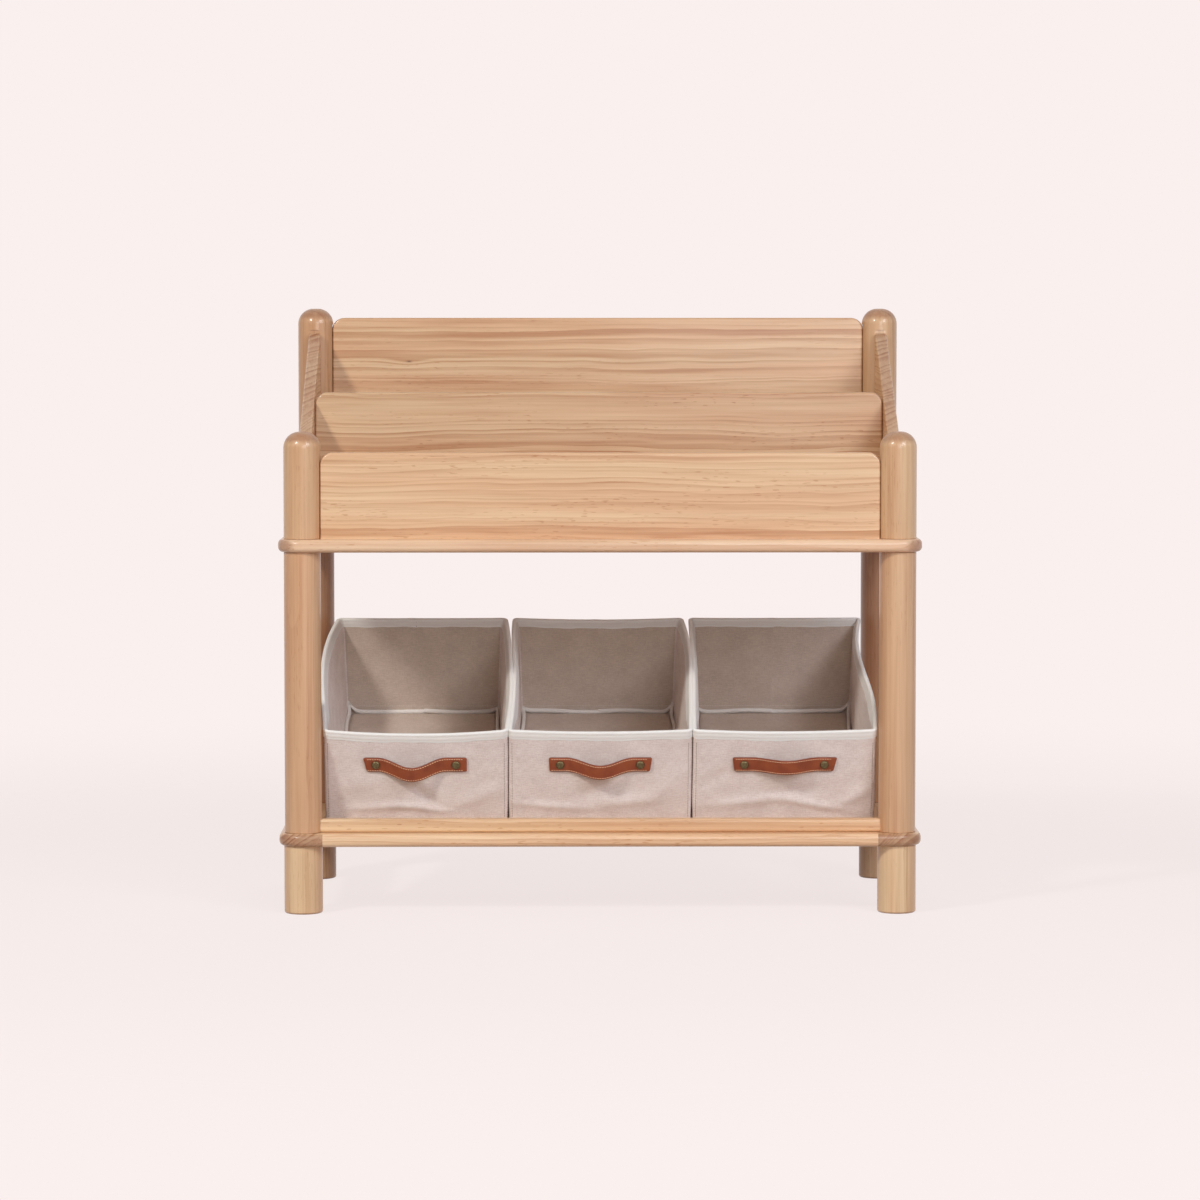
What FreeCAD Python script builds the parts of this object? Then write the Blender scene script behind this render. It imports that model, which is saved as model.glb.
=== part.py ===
"""Children's bookshelf: stepped display panels above, three tilted fabric bins below.

Frame: +X to the right, +Y to the back, +Z up, millimetres. The origin lies on the floor under the
middle of the bookshelf.

Round posts run up through the four corners. They are cut at the two boards, so that at each corner a
foot, the lower frame, a leg, the upper shelf and an upper post stand on each other, drawn together by
threaded studs. The panels end on flats milled on the posts and are dowelled to them.
"""
import FreeCAD
import Part
import Sketcher
import os
import re

# Driving dimensions, in millimetres and degrees: alias, value, what it measures
SIZES = [
    ("post_spacing_y", "340", "between post centres, front to back"),
    ("post_diameter", "46", "posts and legs"),
    ("foot_diameter", "48", "feet"),
    ("foot_height", "85", "floor to lower frame"),
    ("leg_height", "350", "lower frame to upper shelf"),
    ("front_post_height", "133", "upper shelf to top of a front post"),
    ("rear_post_height", "284", "upper shelf to top of a rear post"),
    ("dome_flat", "6", "diameter left flat on top of a domed post"),
    ("foot_rounding", "3", "radius round the bottom of a foot"),
    ("end_easing", "0.8", "eased ends of posts, legs and feet on the boards"),
    ("board_thickness", "16", "upper shelf and lower frame"),
    ("board_overhang", "7", "boards beyond the posts"),
    ("board_edge_radius", "6", "rounded edges of the boards"),
    ("end_rail_width", "55", "lower frame, left and right"),
    ("front_rail_width", "80", "lower frame, front"),
    ("panel_thickness", "15", "display panels and end panels"),
    ("panel_corner_radius", "16", "top corners of the display panels"),
    ("panel_edge_radius", "3", "eased top edges of the panels"),
    ("flat_margin", "1", "milled flat on a post beyond the end of a panel"),
    ("front_panel_height", "107", "above the upper shelf"),
    ("middle_panel_height", "178", "above the upper shelf"),
    ("back_panel_height", "272", "above the upper shelf"),
    ("end_panel_front_height", "94", "above the upper shelf, at the front post"),
    ("end_panel_rear_height", "256", "above the upper shelf, at the rear post"),
    ("end_panel_corner_radius", "6", "rear top corner of an end panel"),
    ("lip_thickness", "18", "front lip, front to back"),
    ("lip_height", "17", "front lip above the front rail"),
    ("lip_edge_radius", "4", "eased edges of the front lip"),
    ("tilt", "18.4", "slope of the slanted shelf and bins, degrees"),
    ("slant_thickness", "10", "slanted shelf"),
    ("slant_leg_gap", "2", "slanted shelf clear of the legs, each side"),
    ("slant_run", "330", "slanted shelf, front to back on the level"),
    ("slant_nose_height", "6.5", "front end of the slanted shelf above the front rail"),
    ("slant_nose_gap", "16", "front end of the slanted shelf behind the lip"),
    ("support_rail_thickness", "18", "rear support rail, front to back"),
    ("support_rail_height", "48", "rear support rail, at its front face"),
    ("stud_diameter", "8", "threaded studs at the corners"),
    ("stud_engagement", "34", "stud inside a post, leg or foot"),
    ("stud_play", "1", "stud hole over stud, on the diameter"),
    ("stud_end_play", "2", "stud hole beyond the end of the stud"),
    ("insert_diameter", "12", "threaded insert, outside"),
    ("insert_length", "20", "threaded insert"),
    ("insert_play", "0.2", "fit of an insert, on the diameter, inside and outside"),
    ("dowel_diameter", "8", "wooden dowels"),
    ("dowel_length", "30", "dowels of the panels"),
    ("rail_dowel_length", "24", "dowels of the rails and lip"),
    ("dowel_play", "0.1", "dowel hole over dowel, on the diameter"),
    ("dowel_end_play", "0.5", "dowel hole beyond the end of a dowel"),
    ("dowel_low", "30", "lower dowel of a panel above the shelf"),
    ("dowel_below_top", "35", "upper dowel of a panel below the top"),
    ("side_dowel_depth", "9", "middle panel's dowels inside the end panels"),
    ("rail_dowel_inset", "18", "rail dowels from the edges of a rail"),
    ("bin_width", "228", "fabric bin, outside"),
    ("bin_gap", "2", "between two bins"),
    ("bin_leg_gap", "3", "outer bins clear of the legs"),
    ("bin_length", "330", "fabric bin along its floor, outside"),
    ("bin_front_height", "123", "front wall of a bin"),
    ("bin_rear_height", "138", "rear wall of a bin"),
    ("bin_wall", "3", "stiffened fabric of a bin"),
    ("bin_corner_radius", "9", "upright corners of a bin, outside"),
    ("bin_inset", "11", "bin behind the front end of the slanted shelf"),
    ("bin_seat_gap", "0.3", "bin floor above the slanted shelf"),
    ("tape_thickness", "0.6", "rim binding"),
    ("tape_height", "11", "rim binding, from the rim down"),
    ("seam_width", "4", "binding of the floor seam, from the wall"),
    ("seam_height", "5", "binding of the floor seam, above the floor"),
    ("base_board_thickness", "3", "stiff board on the floor of a bin"),
    ("base_board_gap", "1", "base board inside the floor seam"),
    ("strap_length", "127", "leather strap handle, between its ends on the wall"),
    ("strap_width", "19", "leather strap handle"),
    ("strap_thickness", "3", "leather strap handle"),
    ("strap_end_radius", "5", "corners of a strap's ends"),
    ("strap_bow", "13", "gap behind the middle of a strap"),
    ("strap_rise", "22", "length over which a strap leaves the wall"),
    ("strap_bend_radius", "24", "bends of a strap"),
    ("strap_drop", "46", "middle of a strap below the front rim"),
    ("rivet_spacing", "100", "between the two rivets of a strap"),
    ("rivet_head_diameter", "11", "rivet heads and inner caps"),
    ("rivet_head_height", "2.4", "rivet heads"),
    ("rivet_cap_height", "1.2", "inner caps"),
    ("rivet_shank_diameter", "4", "rivet shanks"),
    ("rivet_play", "0.2", "rivet hole over shank, on the diameter"),
    ("strap_end_margin", "8", "flat strap beyond a rivet head"),
]

# Lengths that follow from the driving dimensions
DERIVED = {
    "bin_pitch": "bin_width + bin_gap",
    "post_spacing_x": "3 * bin_width + 2 * bin_gap + 2 * bin_leg_gap + post_diameter",
    "slant_width": "post_spacing_x - post_diameter - 2 * slant_leg_gap",
    "post_x": "post_spacing_x / 2",
    "post_y": "post_spacing_y / 2",
    "post_radius": "post_diameter / 2",
    "foot_radius": "foot_diameter / 2",
    "dome_radius": "post_radius - dome_flat / 2",
    "board_x": "post_x + post_radius + board_overhang",
    "board_y": "post_y + post_radius + board_overhang",
    "board_corner_radius": "post_radius + board_overhang",
    "leg_base": "foot_height + board_thickness",
    "shelf_base": "leg_base + leg_height",
    "shelf_top": "shelf_base + board_thickness",
    "stud_hole": "stud_diameter / 2 + stud_play / 2",
    "stud_hole_depth": "stud_engagement + stud_end_play",
    "insert_hole": "insert_diameter / 2 + insert_play / 2",
    "insert_bore": "stud_diameter + insert_play",
    "dowel_hole": "dowel_diameter + dowel_play",
    "dowel_depth": "dowel_length / 2 + dowel_end_play",
    "rail_dowel_depth": "rail_dowel_length / 2 + dowel_end_play",
    "side_dowel_rest": "dowel_length - side_dowel_depth",
    "panel_flat": "sqrt(post_radius ^ 2 - (panel_thickness / 2) ^ 2)",
    "lip_flat": "sqrt(post_radius ^ 2 - (lip_thickness / 2) ^ 2)",
    "support_flat": "sqrt(post_radius ^ 2 - (support_rail_thickness / 2) ^ 2)",
    "flat_depth": "post_radius - panel_flat",
    "corner_rise": "sqrt(panel_corner_radius ^ 2 - (panel_corner_radius - flat_depth) ^ 2)",
    "panel_half": "post_x - panel_flat",
    "middle_half": "post_x - panel_thickness / 2",
    "end_panel_half": "post_y - panel_flat",
    "end_slope": "(end_panel_rear_height - end_panel_front_height) / (2 * end_panel_half)",
    "lip_half": "post_x - lip_flat",
    "support_half": "post_x - support_flat",
    "rail_inner_x": "board_x - end_rail_width",
    "front_rail_back": "-board_y + front_rail_width",
    "front_rail_dowel_front": "-board_y + rail_dowel_inset",
    "front_rail_dowel_back": "front_rail_back - rail_dowel_inset",
    "nose_y": "-post_y + lip_thickness / 2 + slant_nose_gap",
    "nose_top": "leg_base + slant_nose_height",
    "slant_upright": "slant_thickness / cos(tilt)",
    "seat_y": "nose_y + (slant_upright - slant_nose_height) / tan(tilt)",
    "slant_rear": "nose_y + slant_run",
    "slant_rear_top": "nose_top + slant_run * tan(tilt)",
    "support_front": "post_y - support_rail_thickness / 2",
    "support_back": "post_y + support_rail_thickness / 2",
    "support_front_top": "nose_top + (support_front - nose_y) * tan(tilt) - slant_upright",
    "support_back_top": "nose_top + (support_back - nose_y) * tan(tilt) - slant_upright",
    "support_base": "support_front_top - support_rail_height",
    "support_dowel_low": "support_base + rail_dowel_inset / 2",
    "support_dowel_high": "support_front_top - rail_dowel_inset",
    "bin_y": "nose_y + bin_inset - bin_seat_gap * sin(tilt)",
    "bin_z": "nose_top + bin_inset * tan(tilt) + bin_seat_gap * cos(tilt)",
    "rim_slope": "(bin_rear_height - bin_front_height) / bin_length",
    "strap_foot": "rivet_spacing / 2 - rivet_head_diameter / 2 - strap_end_margin",
    "strap_crown": "strap_foot - strap_rise",
    "strap_mitre": "strap_thickness * tan(atan(strap_bow / strap_rise) / 2)",
    "strap_z": "bin_front_height - strap_drop",
}

FUNCTIONS = {"sqrt", "sin", "cos", "tan", "atan"}
LEFT, RIGHT = -1, 1
FRONT, REAR = -1, 1
SIDES = {"left": LEFT, "right": RIGHT}
ENDS = {"front": FRONT, "rear": REAR}
CUT_MARGIN = "5"

doc = FreeCAD.newDocument("bookshelf")
sheet = doc.addObject("Spreadsheet::Sheet", "Sizes")
for row, (alias, number, note) in enumerate(SIZES, 1):
    sheet.set(f"A{row}", alias)
    sheet.set(f"B{row}", number)
    sheet.setAlias(f"B{row}", alias)
    sheet.set(f"C{row}", note)
doc.recompute()

ALIASES = {alias for alias, _, _ in SIZES}
nodes = []


def formula(text):
    """Turn words into sheet cells, and derived lengths into their own formulas."""

    def cell(match):
        word = match.group(0)
        if word in FUNCTIONS:
            return word
        if word in DERIVED:
            return f"({formula(DERIVED[word])})"
        if word in ALIASES:
            return f"Sizes.{word}"
        raise NameError(word)

    return re.sub(r"[a-z_]+", cell, text)


def value(text):
    """Number that a formula has now."""
    return float(sheet.evalExpression(formula(text)))


def new_body(label, x="0", y="0", z="0", tilted=False, several=False):
    """Empty body at its place; several lets it hold a group of separate solids."""
    body = doc.addObject("PartDesign::Body", label)
    body.Label = label
    body.AllowCompound = several
    if tilted:
        body.Placement = FreeCAD.Placement(FreeCAD.Vector(), FreeCAD.Rotation(FreeCAD.Vector(1, 0, 0), 1))
        body.setExpression("Placement.Rotation.Angle", formula("tilt"))
    for axis, text in zip("xyz", (x, y, z)):
        body.setExpression(f"Placement.Base.{axis}", formula(text))
    return body


def new_sketch(body, role, offset="0"):
    """Sketch on an origin plane of its body, moved along the plane's normal."""
    plane = next(item for item in body.Origin.OriginFeatures if item.Role == role)
    sketch = body.newObject("Sketcher::SketchObject", f"{body.Name}_sketch")
    sketch.AttachmentSupport = (plane, [""])
    sketch.MapMode = "FlatFace"
    sketch.setExpression("AttachmentOffset.Base.z", formula(offset))
    return sketch


def pin(sketch, geometry, point, x, y):
    """Tie a point of a sketch to its two formulas."""
    for kind, text in (("DistanceX", x), ("DistanceY", y)):
        number = sketch.addConstraint(Sketcher.Constraint(kind, -1, 1, geometry, point, value(text)))
        sketch.setExpression(f"Constraints[{number}]", formula(text))


def draw_polygon(sketch, corners):
    """Closed outline through corners that are pairs of formulas."""
    first = sketch.GeometryCount
    count = len(corners)
    places = [FreeCAD.Vector(value(x), value(y), 0) for x, y in corners]
    for index in range(count):
        sketch.addGeometry(Part.LineSegment(places[index], places[(index + 1) % count]))
    for index in range(count):
        following = first + (index + 1) % count
        sketch.addConstraint(Sketcher.Constraint("Coincident", first + index, 2, following, 1))
    for index, (x, y) in enumerate(corners):
        pin(sketch, first + index, 1, x, y)


def draw_rectangle(sketch, left, right, low, high):
    """Closed rectangle."""
    draw_polygon(sketch, [(left, low), (right, low), (right, high), (left, high)])


def draw_circles(sketch, centres, diameter):
    """Equal circles at pairs of formulas."""
    for x, y in centres:
        place = FreeCAD.Vector(value(x), value(y), 0)
        circle = sketch.addGeometry(Part.Circle(place, FreeCAD.Vector(0, 0, 1), value(diameter) / 2))
        pin(sketch, circle, 3, x, y)
        number = sketch.addConstraint(Sketcher.Constraint("Diameter", circle, value(diameter)))
        sketch.setExpression(f"Constraints[{number}]", formula(diameter))


def pad(body, sketch, length, symmetric=False):
    """Extrude a sketch along its normal, or to both sides."""
    feature = body.newObject("PartDesign::Pad", f"{body.Name}_pad")
    feature.Profile = sketch
    feature.setExpression("Length", formula(length))
    feature.SideType = "Symmetric" if symmetric else "One side"
    return feature


def pocket(body, sketch, length=None, along_normal=False):
    """Cut a sketch into its body, right through both ways if no length is given."""
    doc.recompute()
    before = body.Shape.Volume
    feature = body.newObject("PartDesign::Pocket", f"{body.Name}_pocket")
    feature.Profile = sketch
    if length is None:
        feature.Type = "ThroughAll"
        feature.SideType = "Symmetric"
    else:
        feature.setExpression("Length", formula(length))
        feature.Reversed = along_normal
    doc.recompute()
    if body.Shape.Volume >= before:
        raise ValueError(f"{feature.Name} cuts nothing")
    return feature


def revolve(body, sketch):
    """Full turn of a sketch about its own vertical axis."""
    feature = body.newObject("PartDesign::Revolution", f"{body.Name}_revolution")
    feature.Profile = sketch
    feature.ReferenceAxis = (sketch, ["V_Axis"])
    feature.Angle = 360
    return feature


def fillet(body, radius, chosen):
    """Round the edges that the test chosen(start, middle, end) picks."""
    doc.recompute()
    base = body.Tip
    names = []
    for number, edge in enumerate(base.Shape.Edges, 1):
        first, last = edge.ParameterRange
        points = [edge.valueAt(first), edge.valueAt((first + last) / 2), edge.valueAt(last)]
        if chosen(points):
            names.append(f"Edge{number}")
    if not names:
        raise ValueError(f"{body.Label} has no edge to round")
    feature = body.newObject("PartDesign::Fillet", f"{body.Name}_fillet")
    feature.Base = (base, names)
    feature.setExpression("Radius", formula(radius))
    return feature


def same(first, second):
    """Whether two coordinates are equal."""
    return abs(first - second) < 1e-4


def near(number, text):
    """Whether a coordinate lies where a formula says."""
    return same(number, value(text))


def keep(item):
    """Count an object among the finished pieces."""
    nodes.append(item)


def drill_x(body, joint_x, centres, depth, towards):
    """Dowel holes along X, from the face at joint_x into the wood towards -1 or 1."""
    sketch = new_sketch(body, "YZ_Plane", joint_x)
    draw_circles(sketch, centres, "dowel_hole")
    pocket(body, sketch, depth, along_normal=towards == RIGHT)


def drill_y(body, joint_y, centres, depth, towards):
    """Dowel holes along Y, from the face at joint_y into the wood towards -1 or 1."""
    sketch = new_sketch(body, "XZ_Plane", f"-({joint_y})")
    draw_circles(sketch, centres, "dowel_hole")
    pocket(body, sketch, depth, along_normal=towards == FRONT)


def mill_flat_x(body, side, distance, base, height):
    """Flat on a post facing -X or +X, as wide as the piece that ends on it."""
    sketch = new_sketch(body, "XY_Plane", base)
    draw_rectangle(sketch, f"{side} * {distance}", f"{side} * (post_radius + {CUT_MARGIN})",
                   "-post_radius", "post_radius")
    pocket(body, sketch, height, along_normal=True)


def mill_flat_y(body, end, distance, base, height):
    """Flat on a post facing -Y or +Y."""
    sketch = new_sketch(body, "XY_Plane", base)
    draw_rectangle(sketch, "-post_radius", "post_radius",
                   f"{end} * {distance}", f"{end} * (post_radius + {CUT_MARGIN})")
    pocket(body, sketch, height, along_normal=True)


def is_outer_rim(points, height, radius="post_radius"):
    """Whether an edge lies at a height, on the outside of a round piece."""
    return all(near(point.z, height) and near(point.x ** 2 + point.y ** 2, f"{radius} ^ 2")
               for point in points)


def make_upper_post(side_name, end_name):
    """Domed post on the upper shelf, with flats and dowel holes for its two panels."""
    side, end = SIDES[side_name], ENDS[end_name]
    height = f"{end_name}_post_height"
    long_panel = "front_panel_height" if end == FRONT else "back_panel_height"
    end_panel = f"end_panel_{end_name}_height"
    body = new_body(f"{side_name}_{end_name}_upper_post", f"{side} * post_x", f"{end} * post_y", "shelf_top")
    sketch = new_sketch(body, "XZ_Plane")
    draw_polygon(sketch, [
        ("insert_hole", "0"), ("post_radius", "0"), ("post_radius", height), ("0", height),
        ("0", "stud_hole_depth"), ("stud_hole", "stud_hole_depth"),
        ("stud_hole", "insert_length"), ("insert_hole", "insert_length")])
    revolve(body, sketch)
    fillet(body, "dome_radius", lambda points: is_outer_rim(points, height))
    fillet(body, "end_easing", lambda points: is_outer_rim(points, "0"))
    mill_flat_x(body, -side, "panel_flat", "0",
                f"{long_panel} - panel_corner_radius + corner_rise + flat_margin")
    rise = "flat_depth * end_slope + flat_margin" if end == FRONT else "0"
    mill_flat_y(body, -end, "panel_flat", "0", f"{end_panel} + {rise}")
    drill_x(body, f"{-side} * panel_flat", [("0", "dowel_low"), ("0", f"{long_panel} - dowel_below_top")],
            "dowel_depth", side)
    drill_y(body, f"{-end} * panel_flat", [("0", "dowel_low"), ("0", f"{end_panel} - dowel_below_top")],
            "dowel_depth", end)
    keep(body)


def make_leg(side_name, end_name):
    """Leg between the lower frame and the upper shelf, with a stud hole in each end."""
    side, end = SIDES[side_name], ENDS[end_name]
    body = new_body(f"{side_name}_{end_name}_leg", f"{side} * post_x", f"{end} * post_y", "leg_base")
    sketch = new_sketch(body, "XZ_Plane")
    top_insert = "leg_height - insert_length"
    top_stud = "leg_height - stud_hole_depth"
    draw_polygon(sketch, [
        ("insert_hole", "0"), ("post_radius", "0"), ("post_radius", "leg_height"),
        ("insert_hole", "leg_height"), ("insert_hole", top_insert), ("stud_hole", top_insert),
        ("stud_hole", top_stud), ("0", top_stud), ("0", "stud_hole_depth"),
        ("stud_hole", "stud_hole_depth"), ("stud_hole", "insert_length"),
        ("insert_hole", "insert_length")])
    revolve(body, sketch)
    fillet(body, "end_easing",
           lambda points: is_outer_rim(points, "0") or is_outer_rim(points, "leg_height"))
    if end == FRONT:
        mill_flat_x(body, -side, "lip_flat", "0", "lip_height")
        drill_x(body, f"{-side} * lip_flat", [("0", "lip_height / 2")], "rail_dowel_depth", side)
    else:
        mill_flat_x(body, -side, "support_flat", "support_base - leg_base", "support_back_top - support_base")
        drill_x(body, f"{-side} * support_flat",
                [("0", "support_dowel_low - leg_base"), ("0", "support_dowel_high - leg_base")],
                "rail_dowel_depth", side)
    keep(body)


def make_foot(side_name, end_name):
    """Short foot with a rounded bottom edge and a stud hole in its top."""
    body = new_body(f"{side_name}_{end_name}_foot", f"{SIDES[side_name]} * post_x",
                    f"{ENDS[end_name]} * post_y")
    sketch = new_sketch(body, "XZ_Plane")
    insert_end = "foot_height - insert_length"
    stud_end = "foot_height - stud_hole_depth"
    draw_polygon(sketch, [
        ("0", "0"), ("foot_radius", "0"), ("foot_radius", "foot_height"), ("insert_hole", "foot_height"),
        ("insert_hole", insert_end), ("stud_hole", insert_end), ("stud_hole", stud_end), ("0", stud_end)])
    revolve(body, sketch)
    fillet(body, "foot_rounding", lambda points: is_outer_rim(points, "0", "foot_radius"))
    fillet(body, "end_easing", lambda points: is_outer_rim(points, "foot_height", "foot_radius"))
    keep(body)


def make_display_panel(label, y, height, half, dowel_depth):
    """Upright panel between the posts or end panels, with rounded top corners and eased top edges."""
    body = new_body(label, "0", y, "shelf_top")
    sketch = new_sketch(body, "XZ_Plane")
    draw_rectangle(sketch, f"-{half}", half, "0", height)
    pad(body, sketch, "panel_thickness", symmetric=True)
    fillet(body, "panel_corner_radius",
           lambda points: all(near(abs(point.x), half) and near(point.z, height) for point in points))
    half_thickness = "panel_thickness / 2"
    side_top = f"{height} - panel_corner_radius"
    fillet(body, "panel_edge_radius",
           lambda points: all(near(abs(point.y), half_thickness) for point in points)
           and points[1].z > value(side_top) + 1e-4)
    centres = [("0", "dowel_low"), ("0", f"{height} - dowel_below_top")]
    for side in (LEFT, RIGHT):
        drill_x(body, f"{side} * {half}", centres, dowel_depth, -side)
    keep(body)


def make_end_panel(side_name):
    """End panel between a front and a rear post, with a straight sloping top."""
    side = SIDES[side_name]
    body = new_body(f"{side_name}_end_panel", f"{side} * post_x", "0", "shelf_top")
    sketch = new_sketch(body, "YZ_Plane")
    draw_polygon(sketch, [
        ("-end_panel_half", "0"), ("end_panel_half", "0"),
        ("end_panel_half", "end_panel_rear_height"), ("-end_panel_half", "end_panel_front_height")])
    pad(body, sketch, "panel_thickness", symmetric=True)
    fillet(body, "end_panel_corner_radius",
           lambda points: all(near(point.y, "end_panel_half") and near(point.z, "end_panel_rear_height")
                              for point in points))
    half_thickness = "panel_thickness / 2"
    fillet(body, "panel_edge_radius",
           lambda points: all(near(abs(point.x), half_thickness) for point in points)
           and points[1].z > 1 and abs(points[0].y - points[2].y) > 1)
    for end_name, end in ENDS.items():
        top = f"end_panel_{end_name}_height - dowel_below_top"
        drill_y(body, f"{end} * end_panel_half", [("0", "dowel_low"), ("0", top)], "dowel_depth", -end)
    drill_x(body, f"{-side} * panel_thickness / 2",
            [("0", "dowel_low"), ("0", "middle_panel_height - dowel_below_top")],
            "side_dowel_depth + dowel_end_play", side)
    keep(body)


def corner_places():
    """Centres of the four posts."""
    return [(f"{side} * post_x", f"{end} * post_y") for side in (LEFT, RIGHT) for end in (FRONT, REAR)]


def make_upper_shelf():
    """Long-grain board with round corners, clamped between the legs and the upper posts."""
    body = new_body("upper_shelf", "0", "0", "shelf_base")
    sketch = new_sketch(body, "XY_Plane")
    draw_rectangle(sketch, "-board_x", "board_x", "-board_y", "board_y")
    pad(body, sketch, "board_thickness")
    fillet(body, "board_corner_radius", lambda points: near(abs(points[0].z - points[2].z), "board_thickness"))
    fillet(body, "board_edge_radius", lambda points: same(points[0].z, points[1].z)
           and same(points[0].z, points[2].z))
    holes = new_sketch(body, "XY_Plane")
    draw_circles(holes, corner_places(), "2 * stud_hole")
    pocket(body, holes)
    keep(body)


def make_end_rail(side_name):
    """Left or right member of the lower frame, with its end grain showing at the front."""
    side = SIDES[side_name]
    body = new_body(f"{side_name}_end_rail", "0", "0", "foot_height")
    sketch = new_sketch(body, "XY_Plane")
    draw_rectangle(sketch, f"{side} * rail_inner_x", f"{side} * board_x", "-board_y", "board_y")
    pad(body, sketch, "board_thickness")
    outer_x = f"{side} * board_x"
    inner_x = f"{side} * rail_inner_x"
    fillet(body, "board_corner_radius",
           lambda points: all(near(point.x, outer_x) for point in points)
           and near(abs(points[0].z - points[2].z), "board_thickness"))
    fillet(body, "board_edge_radius",
           lambda points: same(points[0].z, points[2].z) and not near(points[1].x, inner_x))
    holes = new_sketch(body, "XY_Plane")
    draw_circles(holes, [(x, y) for x, y in corner_places() if x.startswith(f"{side} ")], "2 * stud_hole")
    pocket(body, holes)
    mid = "board_thickness / 2"
    drill_x(body, inner_x, [("front_rail_dowel_front", mid), ("front_rail_dowel_back", mid)],
            "rail_dowel_depth", side)
    keep(body)


def make_front_rail():
    """Front member of the lower frame, between the end rails."""
    body = new_body("front_rail", "0", "0", "foot_height")
    sketch = new_sketch(body, "XY_Plane")
    draw_rectangle(sketch, "-rail_inner_x", "rail_inner_x", "-board_y", "front_rail_back")
    pad(body, sketch, "board_thickness")
    fillet(body, "board_edge_radius",
           lambda points: all(near(point.y, "-board_y") for point in points)
           and same(points[0].z, points[2].z))
    mid = "board_thickness / 2"
    for side in (LEFT, RIGHT):
        drill_x(body, f"{side} * rail_inner_x",
                [("front_rail_dowel_front", mid), ("front_rail_dowel_back", mid)], "rail_dowel_depth", -side)
    keep(body)


def make_front_lip():
    """Lip on the front rail, between flats on the front legs, which keeps the bins in."""
    body = new_body("front_lip", "0", "-post_y", "leg_base")
    sketch = new_sketch(body, "YZ_Plane")
    draw_rectangle(sketch, "-lip_thickness / 2", "lip_thickness / 2", "0", "lip_height")
    pad(body, sketch, "2 * lip_half", symmetric=True)
    fillet(body, "lip_edge_radius", lambda points: abs(points[0].x - points[2].x) > 1)
    for side in (LEFT, RIGHT):
        drill_x(body, f"{side} * lip_half", [("0", "lip_height / 2")], "rail_dowel_depth", -side)
    keep(body)


def make_slanted_shelf():
    """Sloping board under the bins, cut level where it sits on the front rail."""
    body = new_body("slanted_shelf")
    sketch = new_sketch(body, "YZ_Plane")
    draw_polygon(sketch, [
        ("nose_y", "leg_base"), ("seat_y", "leg_base"), ("slant_rear", "slant_rear_top - slant_upright"),
        ("slant_rear", "slant_rear_top"), ("nose_y", "nose_top")])
    pad(body, sketch, "slant_width", symmetric=True)
    keep(body)


def make_rear_support_rail():
    """Rail between the rear legs, its top bevelled to carry the slanted shelf."""
    body = new_body("rear_support_rail")
    sketch = new_sketch(body, "YZ_Plane")
    draw_polygon(sketch, [
        ("support_front", "support_base"), ("support_back", "support_base"),
        ("support_back", "support_back_top"), ("support_front", "support_front_top")])
    pad(body, sketch, "2 * support_half", symmetric=True)
    for side in (LEFT, RIGHT):
        drill_x(body, f"{side} * support_half",
                [("post_y", "support_dowel_low"), ("post_y", "support_dowel_high")], "rail_dowel_depth", -side)
    keep(body)


def make_studs(label, board_base):
    """Four threaded studs through a board, one at each corner."""
    body = new_body(label, several=True)
    sketch = new_sketch(body, "XY_Plane", f"{board_base} - stud_engagement")
    draw_circles(sketch, corner_places(), "stud_diameter")
    pad(body, sketch, "board_thickness + 2 * stud_engagement")
    keep(body)


def make_inserts():
    """Threaded inserts in the feet, both ends of the legs, and the upper posts."""
    body = new_body("threaded_inserts", several=True)
    for base in ("foot_height - insert_length", "leg_base", "shelf_base - insert_length", "shelf_top"):
        sketch = new_sketch(body, "XY_Plane", base)
        draw_circles(sketch, corner_places(), "insert_diameter")
        draw_circles(sketch, corner_places(), "insert_bore")
        pad(body, sketch, "insert_length")
    keep(body)


def make_panel_dowels():
    """Dowels of the three display panels, lying left to right."""
    body = new_body("panel_dowels", several=True)
    low = "shelf_top + dowel_low"
    for side in (LEFT, RIGHT):
        outer = new_sketch(body, "YZ_Plane", f"{side} * panel_half")
        draw_circles(outer, [
            ("-post_y", low), ("-post_y", "shelf_top + front_panel_height - dowel_below_top"),
            ("post_y", low), ("post_y", "shelf_top + back_panel_height - dowel_below_top")], "dowel_diameter")
        pad(body, outer, "dowel_length", symmetric=True)
        middle = new_sketch(body, "YZ_Plane",
                            f"{side} * (middle_half + side_dowel_depth - dowel_length / 2)")
        draw_circles(middle, [("0", low), ("0", "shelf_top + middle_panel_height - dowel_below_top")],
                     "dowel_diameter")
        pad(body, middle, "dowel_length", symmetric=True)
    keep(body)


def make_end_panel_dowels():
    """Dowels of the two end panels, lying front to back."""
    body = new_body("end_panel_dowels", several=True)
    for end_name, end in ENDS.items():
        sketch = new_sketch(body, "XZ_Plane", f"{-end} * end_panel_half")
        heights = ["shelf_top + dowel_low", f"shelf_top + end_panel_{end_name}_height - dowel_below_top"]
        draw_circles(sketch, [(f"{side} * post_x", z) for side in (LEFT, RIGHT) for z in heights],
                     "dowel_diameter")
        pad(body, sketch, "dowel_length", symmetric=True)
    keep(body)


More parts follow.
